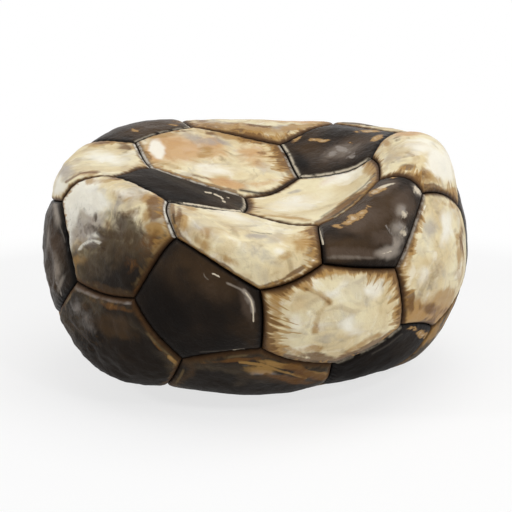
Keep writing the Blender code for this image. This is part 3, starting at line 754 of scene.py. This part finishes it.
# how far the leather stands off the sunken form in mm, and how deep its seam would lie there
def leatherRelief(name, base, share, along, inward):
    uneven = {kind: high * layeredNoise(base, size, seed) for kind, (high, size, seed) in waves.items()}
    wave = uneven["broad"] + crumple.get(name, 1.0) * (uneven["buckles"] + uneven["wrinkles"])
    calm = smooth(0, leather["calmEdge"], inward)
    lift = leather["crown"] * (0.5 - share**2) + wave * (0.25 + 0.75 * calm)
    lower = smooth(*leather["lowerDown"], base[:, 2])
    between = lambda pair: pair[0] + (pair[1] - pair[0]) * lower
    roll = np.clip(1 - inward / between(leather["shoulder"]), 0, 1)
    depth = between(leather["seamDepth"]) + leather["crown"] / 2
    squareness = leather["roll"]
    lift -= depth * (1 - (1 - roll**squareness) ** (1 / squareness)) - leather["crown"] / 2 * roll**2
    # stitches pull the edge in every few millimetres
    stitch = np.cos(along * 2 * math.pi * leather["stitches"])
    at, spread = leather["stitchPlace"]
    lift -= leather["stitchPull"] * (0.5 + 0.5 * stitch) * np.exp(-(((inward - at) / spread) ** 2))
    return lift, depth


# at each point of the seam line, the way into the panel that keeps one unit off the seam
def seamInsets(corners, seam, steps):
    sides = len(corners)
    out = normals(seam)
    ways = []
    for i in range(sides):
        a, b = corners[i], corners[(i + 1) % sides]
        here = seam[np.arange(i * steps, (i + 1) * steps + 1) % len(seam)]
        run = unit((b - a) - here * (here @ (b - a))[:, None])
        ways.append(unit(np.cross(normals(here), slope(here, run))))
    insets = np.empty_like(seam)
    for i in range(sides):
        insets[i * steps : (i + 1) * steps] = ways[i][:-1]
        both = ways[i][0] + ways[i - 1][-1]
        insets[i * steps] = both * 2 / (both @ both)
    return insets, out


# the seam line, then the rings of the edge turned in behind it, of the inner face and of its middle
def hemRings(corners, seam, line, depth):
    insets, out = seamInsets(corners, seam, leather["rings"])
    hem, thickness, within = leather["hem"], leather["thickness"], leather["innerRing"]
    wall = line + insets * leather["gap"] / 2
    behind = line + insets * (leather["gap"] / 2 + thickness)
    rings = [
        wall - out * depth,
        wall - out * (depth + hem) / 2,
        wall - out * hem,
        behind - out * hem,
        behind - out * (depth + thickness),
    ]
    middle = corners.mean(axis=0)
    for share, way in ((within, unit(middle + within * (seam - middle))), (0, unit(middle)[None])):
        rings.append(sunken(way) + normals(way) * (leather["crown"] * (0.5 - share**2) - thickness))
    return rings


def hemFaces(seamStart, total, count, rings):
    starts = [seamStart] + [total + count * i for i in range(rings)]
    inner, centre = starts[-2:]
    n = np.arange(count)
    after = (n + 1) % count
    strips = []
    for a, b in zip(starts, starts[1:-1]):
        strips.append(np.column_stack([a + n, b + n, b + after]))
        strips.append(np.column_stack([a + n, b + after, a + after]))
    strips.append(np.column_stack([inner + n, np.full(count, centre), inner + after]))
    return np.vstack(strips)


neighbours = {}
for name, (places, _) in panels.items():
    corners = panelCorners(places)
    for i, corner in enumerate(corners):
        middle = unit(corner + corners[(i + 1) % len(corners)])
        neighbours.setdefault(tuple(np.round(middle, 4) + 0.0), []).append((name, i))


def sideNeighbours(name):
    found = {}
    for pair in neighbours.values():
        for own, other in (pair, pair[::-1]):
            if own[0] == name:
                found[own[1]] = other[0]
    return found


def distanceToLine(points, line):
    line = np.array(line, float)
    best = np.full(len(points), 1e9)
    for a, b in zip(line, line[1:]):
        t = np.clip((points - a) @ (b - a) / ((b - a) @ (b - a)), 0, 1)
        best = np.minimum(best, np.linalg.norm(points - a - t[:, None] * (b - a), axis=1))
    return best


def soilingOf(name):
    return {**soiling["usual"], **soiling.get(name, {})}


# how far stain runs in from the seams in mm, changing smoothly from one side of the panel to the next
def stainReach(name, near, along):
    own, sides = soilingOf(name), len(near)
    reach = np.array([own.get(near[i], own["seams"]) for i in range(sides)])
    place = along - 0.5
    low = np.floor(place).astype(int)
    t = smooth(0.15, 0.85, place - low)
    return reach[low % sides] * (1 - t) + reach[(low + 1) % sides] * t


def paleRim(name, near, side, inward):
    rim = np.zeros(len(inward))
    at, spread = leather["paleLine"]
    for i, other in near.items():
        strength = paleSeams.get((name, other), 0)
        rim = np.where(side == i, strength * np.exp(-(((inward - at) / spread) ** 2)), rim)
    return rim


def paintMarks(name, picture, facing, base):
    tone = name.split("_")[0]
    values = {kind: np.zeros(len(base)) for kind in markKinds[tone]}
    drift = np.column_stack([
        sum(reach * valueNoise(base, size, seed) for reach, size, seed in layers)
        for layers in blotDrift.values()
    ])
    for kind, x, y, wide, high, turn, strength in spots.get(name, []):
        c, s = math.cos(math.radians(turn)), math.sin(math.radians(turn))
        dx, dy = (picture + drift * min(1, min(wide, high) / blotWhole) - (x, y)).T
        a, b = (dx * c + dy * s) / wide, (-dx * s + dy * c) / high
        values[kind] = np.maximum(values[kind], strength * np.exp(-((a * a + b * b) ** 1.2)) * facing)
    for kind, line, wide, strength in strokes.get(name, []):
        away = distanceToLine(picture, line) / wide
        values[kind] = np.maximum(values[kind], strength * np.exp(-(away**2)) * facing)

    # a side that the photograph doesn't show has the same kind of wear, scattered
    hiddenSide = 1.0 - facing if name in spots else np.ones(len(base))
    rng = np.random.default_rng(sum(map(ord, name)) % 997)
    kinds = scatter["kinds"][tone]
    for n in range(scatter["count"][tone]):
        kind = kinds[n % len(kinds)]
        at = base[rng.integers(len(base))]
        wide = rng.uniform(*scatter["chips" if kind.endswith("chip") else "stains"])
        away = np.linalg.norm((base - at) * rng.uniform(0.6, 1.6, 3), axis=1) / wide
        values[kind] = np.maximum(values[kind], rng.uniform(0.6, 1.0) * np.exp(-(away**2.4)) * hiddenSide)
    values["mottle"] = np.full(len(base), soilingOf(name)["all over"])
    low = smooth(*groundDirtAndShade["heights"], base[:, 2]) * groundDirtAndShade[tone]
    values["grimeAndShade"] = np.maximum(values["grimeAndShade"], np.maximum(low, grimeAndShade.get(name, 0.0)))
    return values


def buildPanel(name, material):
    corners = panelCorners(panels[name][0])
    sides, rings = len(corners), leather["rings"]
    faces, start = fanFaces(sides, rings)
    directions, side, share, along = layRings(corners)
    base, normal = sunken(directions), normals(directions)
    inward = (1 - share) * leather["middleToSide"][sides]
    lift, depth = leatherRelief(name, base, share, along, inward)

    points = base + normal * lift[:, None]
    picture = inPicture(points)
    facing = (normal @ cameraAxes()[1]) > camera["turnedAway"]
    for line, width, height in creases.get(name, []):
        away = distanceToLine(picture, line) * camera["mmPerPixel"]
        points += normal * (height * np.exp(-((away / width) ** 2)) * facing)[:, None]

    last = slice(start[rings], None)
    points[last], *hem = hemRings(corners, directions[last], base[last], depth[last, None])
    faces = np.vstack([faces, hemFaces(start[rings], len(points), sides * rings, len(hem))])
    points = np.vstack([points] + hem)
    points[:, 2] = np.maximum(points[:, 2], 0)
    mesh = bpy.data.meshes.new(name)
    mesh.from_pydata((points * mm).tolist(), [], faces.tolist())
    mesh.shade_smooth()
    mesh.materials.append(material)

    # what the materials read: marks, distance from the seam in mm, and the way round the panel
    near = sideNeighbours(name)
    values = paintMarks(name, picture, facing, base)
    values["rim"] = paleRim(name, near, side, inward)
    values["edge"] = inward
    values["soil"] = stainReach(name, near, along)
    hidden = np.zeros(len(points) - len(inward))
    for key, data in values.items():
        layer = mesh.attributes.new(key, "FLOAT", "POINT")
        layer.data.foreach_set("value", np.append(data, hidden).astype(np.float32))
    seamAngle = along / sides * 2 * math.pi
    turnRadius = sides * leather["sideLength"] / (2 * math.pi)
    run = np.column_stack([np.cos(seamAngle) * turnRadius, np.sin(seamAngle) * turnRadius, inward])
    layer = mesh.attributes.new("seamRun", "FLOAT_VECTOR", "POINT")
    layer.data.foreach_set("vector", np.append(run, np.repeat(hidden, 3)).astype(np.float32))

    obj = bpy.data.objects.new(name + "_leather", mesh)
    bpy.context.scene.collection.objects.link(obj)
    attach(obj, "root")
    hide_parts(name)


# Materials

def fromHex(code):
    parts = [int(code[i : i + 2], 16) / 255 for i in (0, 2, 4)]
    linear = [c / 12.92 if c < 0.04045 else ((c + 0.055) / 1.055) ** 2.4 for c in parts]
    return tuple(linear) + (1,)


def coloursOf(look):
    return {key: fromHex(value) if isinstance(value, str) else value for key, value in look.items()}


class Nodes:
    def __init__(self, name):
        self.material = bpy.data.materials.new(name)
        self.material.use_nodes = True
        self.tree = self.material.node_tree
        self.shader = self.tree.nodes["Principled BSDF"]
        self.place = self.add("TexCoord").outputs["Object"]

    def put(self, socket, value):
        if isinstance(value, bpy.types.NodeSocket):
            self.tree.links.new(value, socket)
        elif value is not None:
            socket.default_value = value

    def add(self, kind, settings=None, **inputs):
        node = self.tree.nodes.new("ShaderNode" + kind)
        for key, value in (settings or {}).items():
            setattr(node, key, value)
        for key, value in inputs.items():
            self.put(node.inputs[key.replace("_", " ")], value)
        return node

    def attribute(self, name, output="Fac"):
        return self.add("Attribute", {"attribute_name": name}).outputs[output]

    def math(self, operation, a, b=None, c=None):
        node = self.add("Math", {"operation": operation})
        for socket, value in zip(node.inputs, (a, b, c)):
            self.put(socket, value)
        return node.outputs[0]

    # a value moved up or down by a noise
    def shifted(self, value, noise, amount, middle=0.5):
        return self.math("MULTIPLY_ADD", self.math("SUBTRACT", noise, middle), amount, value)

    def step(self, value, low, high):
        node = self.add("MapRange", {"interpolation_type": "SMOOTHSTEP"}, Value=value)
        self.put(node.inputs["From Min"], low)
        self.put(node.inputs["From Max"], high)
        return node.outputs[0]

    def stretched(self, vector, scale, rotation=(0, 0, 0)):
        return self.add("Mapping", None, Vector=vector, Rotation=rotation, Scale=scale).outputs[0]

    def noise(self, scale, detail, roughness=0.55, vector=None, distortion=0.0, other=0):
        vector = vector or self.place
        if other:  # another field of the same kind
            aside = (1.7 * other, 2.3 * other, 0.9 * other)
            vector = self.add("Mapping", None, Vector=vector, Location=aside).outputs[0]
        return self.add(
            "TexNoise", Vector=vector, Scale=scale, Detail=detail, Roughness=roughness, Distortion=distortion
        ).outputs["Fac"]

    def over(self, base, colour, where, amount=None):
        if amount is not None:
            where = self.math("MULTIPLY", where, amount)
        node = self.add("Mix", {"data_type": "RGBA"})
        self.put(node.inputs[0], where)
        self.put(node.inputs[6], base)
        self.put(node.inputs[7], colour)
        return node.outputs[2]

    # a soft spot moved by noise, nothing where there is no spot
    def field(self, value, noise, reach):
        change = self.math("MULTIPLY", self.math("SUBTRACT", noise, 0.5), self.step(value, 0.0, 0.3))
        return self.math("MULTIPLY_ADD", change, reach, value)

    def ragged(self, value, noise, reach, low, high):
        return self.step(self.field(value, noise, reach), low, high)

    def finish(self, look, colour, rough, normal):
        self.put(self.shader.inputs["Base Color"], colour)
        self.put(self.shader.inputs["Roughness"], rough)
        self.put(self.shader.inputs["Normal"], normal)
        self.shader.inputs["Specular IOR Level"].default_value = look["specular"]
        self.shader.inputs["Coat Weight"].default_value = look["coat"]
        self.shader.inputs["Coat Roughness"].default_value = look["coatRoughness"]
        return self.material


whiteLook = {
    # the pale colour is pale leather, and a painted highlight where the pale spots and strokes stand for one
    "cream": "EADEB9", "ivory": "DBC89D", "olive": "B6A385", "tan": "AB8449", "orange": "C4925A",
    # the dirt and dark colours paint dirt and shade alike
    "brown": "6A4721", "edge": "432B13", "groove": "1E1208", "grey": "A79E97", "dirtAndShade": "402F1C",
    # the rubbed colour is worn leather on the rolled edges, painted as a highlight there
    "dark": "150D06", "pale": "F8F4E6", "rubbedHighlight": "A88E62",
    "roughness": 0.42, "specular": 0.11, "coat": 0.04, "coatRoughness": 0.2,
    "streaks": (0.34, 0.34, 0.09),  # noise scale round the panel, twice, and inward
    "blotches": (  # colour, noise: scale, detail, roughness, distortion and field, from, to, density
        ("tan", 60, 3, 0.5, 1.2, 5, 0.48, 0.66, 0.75), ("grey", 48, 3, 0.5, 1.0, 7, 0.50, 0.68, 0.8),
        ("brown", 75, 4, 0.55, 1.4, 9, 0.56, 0.70, 0.85),
    ),
    "marks": (  # kind and colour, density, the noise that tears it, how far, from, to
        ("orange", 0.75, "patch", 1.0, 0.12, 0.85), ("grey", 0.75, "patch", 1.2, 0.15, 0.85),
        ("pale", 0.85, "smear", 0.8, 0.25, 0.95), ("tan", 0.80, "mixed", 1.2, 0.25, 0.75),
        ("brown", 0.84, "mixed", 1.3, 0.25, 0.75), ("dirtAndShade", 0.85, "mixed", 1.2, 0.22, 0.80),
    ),
}

blackLook = {
    # the gloss colour is a painted highlight and the sheen colour a painted sheen, the grey one in places
    # too; the pale chip colour is bare leather in chips and a painted glint in places
    "base": "201811", "warm": "42311F", "paintedSheen": "57483C", "dark": "0D0907", "chip": "B28F5F",
    "chipEdge": "5C4329", "chipPaleAndHighlight": "DDD0B8", "grey": "948C84", "paintedHighlight": "B8AC9E",
    "roughness": 0.38, "specular": 0.06, "coat": 0.03, "coatRoughness": 0.16,
    "marks": (  # as for the white leather
        ("warm", 0.9, "cloud", 0.8, 0.15, 0.85), ("paintedSheen", 0.85, "patch", 0.7, 0.15, 0.9),
        ("paintedHighlight", 0.65, "patch", 0.5, 0.15, 1.05), ("grey", 0.75, "fine", 1.7, 0.40, 0.80),
    ),
}

grain = {  # the bump that all the leather has
    "fine": 0.35, "scuffs": 1.6, "cracks": 0.2, "wrinkles": 7.0,  # against each other
    "strength": 0.6, "depth": 0.0006,  # the depth in metres
}


def wrinkleNoise(m):
    return m.noise(260, 5, 0.6, distortion=1.5)


def leatherBump(m, amount):
    fine = m.noise(1500, 3, 0.6)
    pores = m.add("TexVoronoi", {"feature": "F1"}, Vector=m.place, Scale=900).outputs["Distance"]
    crackCells = m.add("TexVoronoi", {"feature": "DISTANCE_TO_EDGE"}, Vector=m.place, Scale=260)
    crack = m.step(crackCells.outputs["Distance"], 0.0, 0.08)
    height = m.math("MULTIPLY", pores, grain["fine"] * amount)
    height = m.math("MULTIPLY_ADD", fine, grain["fine"] * amount, height)
    height = m.math("MULTIPLY_ADD", m.noise(330, 6, 0.62), grain["scuffs"], height)
    height = m.math("MULTIPLY_ADD", crack, grain["cracks"], height)
    wrinkles = m.math("MULTIPLY", wrinkleNoise(m), m.attribute("crackle"))
    height = m.math("MULTIPLY_ADD", wrinkles, grain["wrinkles"], height)
    bump = m.add("Bump", None, Strength=grain["strength"], Distance=grain["depth"], Height=height)
    return bump.outputs["Normal"]


def layMarks(m, look, colour, noises):
    for kind, amount, noise, reach, low, high in look["marks"]:
        spot = m.ragged(m.attribute(kind), noises[noise], reach, low, high)
        colour = m.over(colour, look[kind], spot, amount)
    return colour


def wornRim(m, colour, tone, amount):
    worn = m.math("MULTIPLY", m.attribute("rim"), m.step(m.noise(210, 4, 0.65), 0.34, 0.56))
    return m.over(colour, tone, worn, amount)


def whiteLeather():
    m = Nodes("whiteLeather")
    look = coloursOf(whiteLook)
    streak = m.noise(1.0, 2, 0.5, m.stretched(m.attribute("seamRun", "Vector"), look["streaks"]))
    cloud = m.noise(42, 4, 0.5)
    patch = m.noise(105, 4, 0.55, distortion=0.8)
    smear = m.noise(62, 3, 0.5, m.stretched(m.place, (1, 1, 2.4), (0.3, 0.5, 0.2)), 1.0)
    mixed = m.shifted(patch, streak, 0.16)
    mottle = m.attribute("mottle")

    # the leather itself, yellowed and cloudy
    colour = m.over(look["cream"], look["ivory"], m.step(cloud, 0.38, 0.64))
    colour = m.over(colour, look["olive"], m.step(smear, 0.50, 0.70), 0.42)
    colour = m.over(colour, look["pale"], m.step(m.noise(75, 4, 0.55, None, 1.0, 3), 0.54, 0.68), 0.45)
    for tone, scale, detail, roughness, distortion, other, low, high, amount in look["blotches"]:
        found = m.step(m.noise(scale, detail, roughness, None, distortion, other), low, high)
        colour = m.over(colour, look[tone], m.math("MULTIPLY", found, amount), mottle)

    # dirt and painted shade, heaviest on the low panels, from brown to nearly black
    def darken(colour, kind):
        darkness = m.shifted(m.shifted(m.attribute(kind), cloud, 0.7), patch, 0.5)
        colour = m.over(colour, look["dirtAndShade"], m.step(darkness, 0.10, 0.50), 0.94)
        return m.over(colour, look["dark"], m.step(darkness, 0.38, 0.92), 0.98)

    colour = darken(colour, "grimeAndShade")
    colour = layMarks(m, look, colour, {"patch": patch, "smear": smear, "mixed": mixed})

    # stain that runs in from the seams in ragged strokes, in mm
    edge = m.attribute("edge")
    reach = m.math("MULTIPLY", m.attribute("soil"), m.shifted(0.35, streak, 4.5, 0.36))
    reach = m.math("MULTIPLY", reach, m.step(m.noise(50, 3, 0.5, None, 0, 11), 0.28, 0.58))
    clean = m.math("MULTIPLY_ADD", m.step(m.attribute("grimeAndShade"), 0.2, 0.8), -0.66, 0.80)
    tanEdge = m.step(m.math("SUBTRACT", edge, m.math("MULTIPLY", reach, 1.5)), 2.2, -0.8)
    colour = m.over(colour, look["tan"], tanEdge, clean)
    brownEdge = m.step(m.math("SUBTRACT", edge, m.math("MULTIPLY", reach, 0.8)), 1.8, -0.6)
    colour = m.over(colour, look["brown"], brownEdge, clean)
    colour = m.over(colour, look["edge"], m.step(m.shifted(edge, patch, 3.0), 3.6, 0.9), 0.88)

    # the dark marks are painted shade, with some dirt
    colour = darken(colour, "dark")
    wrinkle = m.math("MULTIPLY", m.attribute("crackle"), m.step(wrinkleNoise(m), 0.47, 0.36))
    colour = m.over(colour, look["dirtAndShade"], wrinkle, 0.6)
    rubbedHighlight = m.math("MULTIPLY", m.step(edge, 1.8, 2.9), m.step(edge, 4.2, 3.2))  # where the edge rolls over, worn and painted as a highlight
    rubbedHighlight = m.math("MULTIPLY", rubbedHighlight, m.step(m.noise(60, 3, 0.5, None, 0, 13), 0.48, 0.62))
    colour = m.over(colour, look["rubbedHighlight"], rubbedHighlight, 0.25)
    # the seam groove painted nearly black: painted shade
    colour = m.over(colour, look["groove"], m.step(edge, 1.4, 0.4), 0.55)
    colour = wornRim(m, colour, look["pale"], 0.9)
    colour = m.over(colour, look["groove"], m.step(edge, 0.6, 0.2), 0.9)
    # line strokes: painted shadow along the dent's crease, and thin dark welt lines
    colour = m.over(colour, look["groove"], m.attribute("line"), 0.95)

    rough = m.math("MULTIPLY_ADD", patch, 0.35, look["roughness"] - 0.16)
    rough = m.math("MULTIPLY_ADD", m.step(edge, 3, 0), 0.12, rough)
    rough = m.math("MULTIPLY_ADD", m.attribute("grimeAndShade"), 0.25, rough)
    return m.finish(look, colour, rough, leatherBump(m, 0.8))


def blackLeather():
    m = Nodes("blackLeather")
    look = coloursOf(blackLook)
    cloud = m.noise(38, 5, 0.55)
    patch = m.noise(170, 5, 0.62, distortion=0.8)

    colour = m.over(look["base"], look["warm"], m.step(cloud, 0.42, 0.70), 0.6)
    colour = layMarks(m, look, colour, {"cloud": cloud, "patch": patch, "fine": m.noise(380, 5, 0.62)})
    # dirt and painted shade, darkest where the dark marks lie
    dirtAndShade = m.math("MAXIMUM", m.attribute("dark"), m.attribute("grimeAndShade"))
    colour = m.over(colour, look["dark"], m.step(dirtAndShade, 0.1, 0.9), 0.85)
    edge = m.attribute("edge")
    colour = m.over(colour, look["dark"], m.step(edge, 3.0, 0.8), 0.85)

    # chips, brown at the rim, then bare leather, palest in the middle
    torn = m.noise(190, 5, 0.62, m.stretched(m.place, (0.55, 0.55, 1.9)), 0.8)
    chipField = m.field(m.attribute("chip"), torn, 2.6)
    colour = m.over(colour, look["chipEdge"], m.step(chipField, 0.22, 0.5), 0.8)
    chips = m.step(chipField, 0.46, 0.64)
    colour = m.over(colour, look["chip"], chips, 0.85)
    colour = m.over(colour, look["chipPaleAndHighlight"], m.step(chipField, 0.85, 1.1), 0.5)
    # pale chips: bare leather, and in places painted glints on crinkles and rims
    paleChipsAndHighlights = m.ragged(m.attribute("palechip"), m.noise(420, 4, 0.6), 1.2, 0.34, 0.66)
    colour = m.over(colour, look["chipPaleAndHighlight"], paleChipsAndHighlights, 0.85)
    colour = wornRim(m, colour, look["chipPaleAndHighlight"], 0.8)
    # the seam groove painted nearly black: painted shade
    colour = m.over(colour, look["dark"], m.step(edge, 0.9, 0.2), 0.95)

    rough = m.math("MULTIPLY_ADD", patch, 0.30, look["roughness"] - 0.14)
    rough = m.math("MULTIPLY_ADD", chips, 0.2, rough)
    rough = m.math("MULTIPLY_ADD", dirtAndShade, 0.3, rough)
    return m.finish(look, colour, rough, leatherBump(m, 0.5))


rubberLook = {"colour": {"valve": "211F1C", "bladder": "1B1A18"}, "dust": "4A443C", "roughness": 0.58}


def rubber(node):
    m = Nodes(node + "Rubber")
    dusty = m.step(m.noise(500, 4), 0.5, 0.75)
    colour = m.over(fromHex(rubberLook["colour"][node]), fromHex(rubberLook["dust"]), dusty)
    m.put(m.shader.inputs["Base Color"], colour)
    m.shader.inputs["Roughness"].default_value = rubberLook["roughness"]
    pitted = m.add("Bump", None, Strength=0.4, Distance=0.0002, Height=m.noise(2500, 3))
    m.put(m.shader.inputs["Normal"], pitted.outputs["Normal"])
    return m.material


# The ball

white, black = whiteLeather(), blackLeather()
print("leather mixed")
for name in panels:
    buildPanel(name, black if name.startswith("black") else white)
print("panels built")


valveHole = {"panel": "white_rear_left_mid", "radius": 4.0, "depth": 30, "segments": 48}  # mm


def punchValveHole():
    panel = bpy.data.objects[valveHole["panel"] + "_leather"]
    middle = unit(panelCorners(panels[valveHole["panel"]][0]).mean(axis=0))[None]
    out = Vector(normals(middle)[0])
    seat = Vector(sunken(middle)[0]) * mm
    radius = valveHole["radius"] * mm
    bm = bmesh.new()
    bmesh.ops.create_cone(
        bm, cap_ends=True, segments=valveHole["segments"], radius1=radius, radius2=radius,
        depth=valveHole["depth"] * mm,
    )
    mesh = bpy.data.meshes.new("valveHole")
    bm.to_mesh(mesh)
    bm.free()
    cutter = bpy.data.objects.new("valveHole", mesh)
    bpy.context.scene.collection.objects.link(cutter)
    cutter.location = seat
    cutter.rotation_mode = "QUATERNION"
    cutter.rotation_quaternion = out.to_track_quat("Z", "Y")
    hole = panel.modifiers.new("valve hole", "BOOLEAN")
    hole.operation, hole.solver, hole.object = "DIFFERENCE", "EXACT", cutter
    bpy.context.view_layer.update()
    cut = bpy.data.meshes.new_from_object(panel.evaluated_get(bpy.context.evaluated_depsgraph_get()))
    panel.modifiers.remove(hole)
    panel.data = cut
    bpy.data.objects.remove(cutter, do_unlink=True)


punchValveHole()
for node in ("valve", "bladder"):
    finish = rubber(node)
    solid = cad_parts[node]
    solid.data.materials.clear()
    solid.data.materials.append(finish)
    solid.material_slots[0].material = finish
print("valve and bladder finished")


# Floor, lights and background

studio = {
    "floor": 0.9, "floorRoughness": 0.9, "floorSize": 12, "floorDrop": 0.0002,  # sizes in metres
    "glow": 0.72,  # how white the floor shows under the ball
    "shadowReach": (0.15, 0.36),  # metres from the middle, over which the floor fades to plain white
    "sky": 0.33,
}

lamps = {  # watts, and metres
    "overhead": {"power": 5.7, "size": (1.0, 0.8), "place": (0.15, -0.1, 1.1), "aim": (0, 0, 0.08)},
    "rightSoftbox": {"power": 3.3, "size": (0.5, 0.7), "place": (0.95, -0.45, 0.65), "aim": (0, 0, 0.07)},
    "leftTop": {"power": 2.7, "size": (0.16, 0.16), "place": (-0.9, -0.42, 0.62), "aim": (0, 0, 0.1)},
    "rightTop": {"power": 1.2, "size": (0.10, 0.10), "place": (0.45, -0.75, 0.75), "aim": (0, 0, 0.08)},
}


def addLamp(name, lamp):
    light = bpy.data.lights.new(name, "AREA")
    light.shape = "RECTANGLE"
    light.size, light.size_y = lamp["size"]
    light.energy = lamp["power"]
    obj = bpy.data.objects.new(name, light)
    obj.location = lamp["place"]
    obj.rotation_mode = "QUATERNION"
    obj.rotation_quaternion = (Vector(lamp["aim"]) - Vector(lamp["place"])).to_track_quat("-Z", "Y")
    bpy.context.scene.collection.objects.link(obj)


def addFloor():
    m = Nodes("floorPaint")
    m.put(m.shader.inputs["Base Color"], (studio["floor"],) * 3 + (1,))
    m.shader.inputs["Roughness"].default_value = studio["floorRoughness"]
    m.shader.inputs["Specular IOR Level"].default_value = 0
    ray = m.add("LightPath").outputs
    seen = m.math("MAXIMUM", ray["Is Camera Ray"], ray["Is Glossy Ray"])
    seen = m.math("MAXIMUM", seen, ray["Is Transmission Ray"])
    radius = m.add("VectorMath", {"operation": "LENGTH"}, Vector=m.place).outputs["Value"]
    far = m.math("MAXIMUM", m.step(radius, *studio["shadowReach"]), studio["glow"])
    emission = m.add("Emission", None, Color=(1, 1, 1, 1), Strength=1.0).outputs[0]
    mix = m.add("MixShader")
    m.put(mix.inputs[0], m.math("MULTIPLY", far, seen))
    m.put(mix.inputs[1], m.shader.outputs[0])
    m.put(mix.inputs[2], emission)
    m.put(m.tree.nodes["Material Output"].inputs["Surface"], mix.outputs[0])
    bpy.ops.mesh.primitive_plane_add(size=studio["floorSize"], location=(0, 0, -studio["floorDrop"]))
    floor = bpy.context.object
    floor.name = "floor"
    floor.data.materials.append(m.material)


def setWorld():
    world = bpy.data.worlds.new("world")
    bpy.context.scene.world = world
    world.use_nodes = True
    tree = world.node_tree
    tree.nodes.clear()
    ray = tree.nodes.new("ShaderNodeLightPath")
    lit = tree.nodes.new("ShaderNodeBackground")
    seen = tree.nodes.new("ShaderNodeBackground")
    mix = tree.nodes.new("ShaderNodeMixShader")
    out = tree.nodes.new("ShaderNodeOutputWorld")
    lit.inputs["Color"].default_value = (1, 1, 1, 1)
    lit.inputs["Strength"].default_value = studio["sky"]
    seen.inputs["Color"].default_value = (1, 1, 1, 1)
    shown = ray.outputs["Is Camera Ray"]
    for kind in ("Is Glossy Ray", "Is Transmission Ray"):
        either = tree.nodes.new("ShaderNodeMath")
        either.operation = "MAXIMUM"
        tree.links.new(shown, either.inputs[0])
        tree.links.new(ray.outputs[kind], either.inputs[1])
        shown = either.outputs[0]
    tree.links.new(shown, mix.inputs[0])
    tree.links.new(lit.outputs[0], mix.inputs[1])
    tree.links.new(seen.outputs[0], mix.inputs[2])
    tree.links.new(mix.outputs[0], out.inputs[0])


addCamera()
print("camera placed")
addFloor()
setWorld()
for name, lamp in lamps.items():
    addLamp(name, lamp)
bpy.context.scene.view_settings.view_transform = "Standard"
print("studio lit")
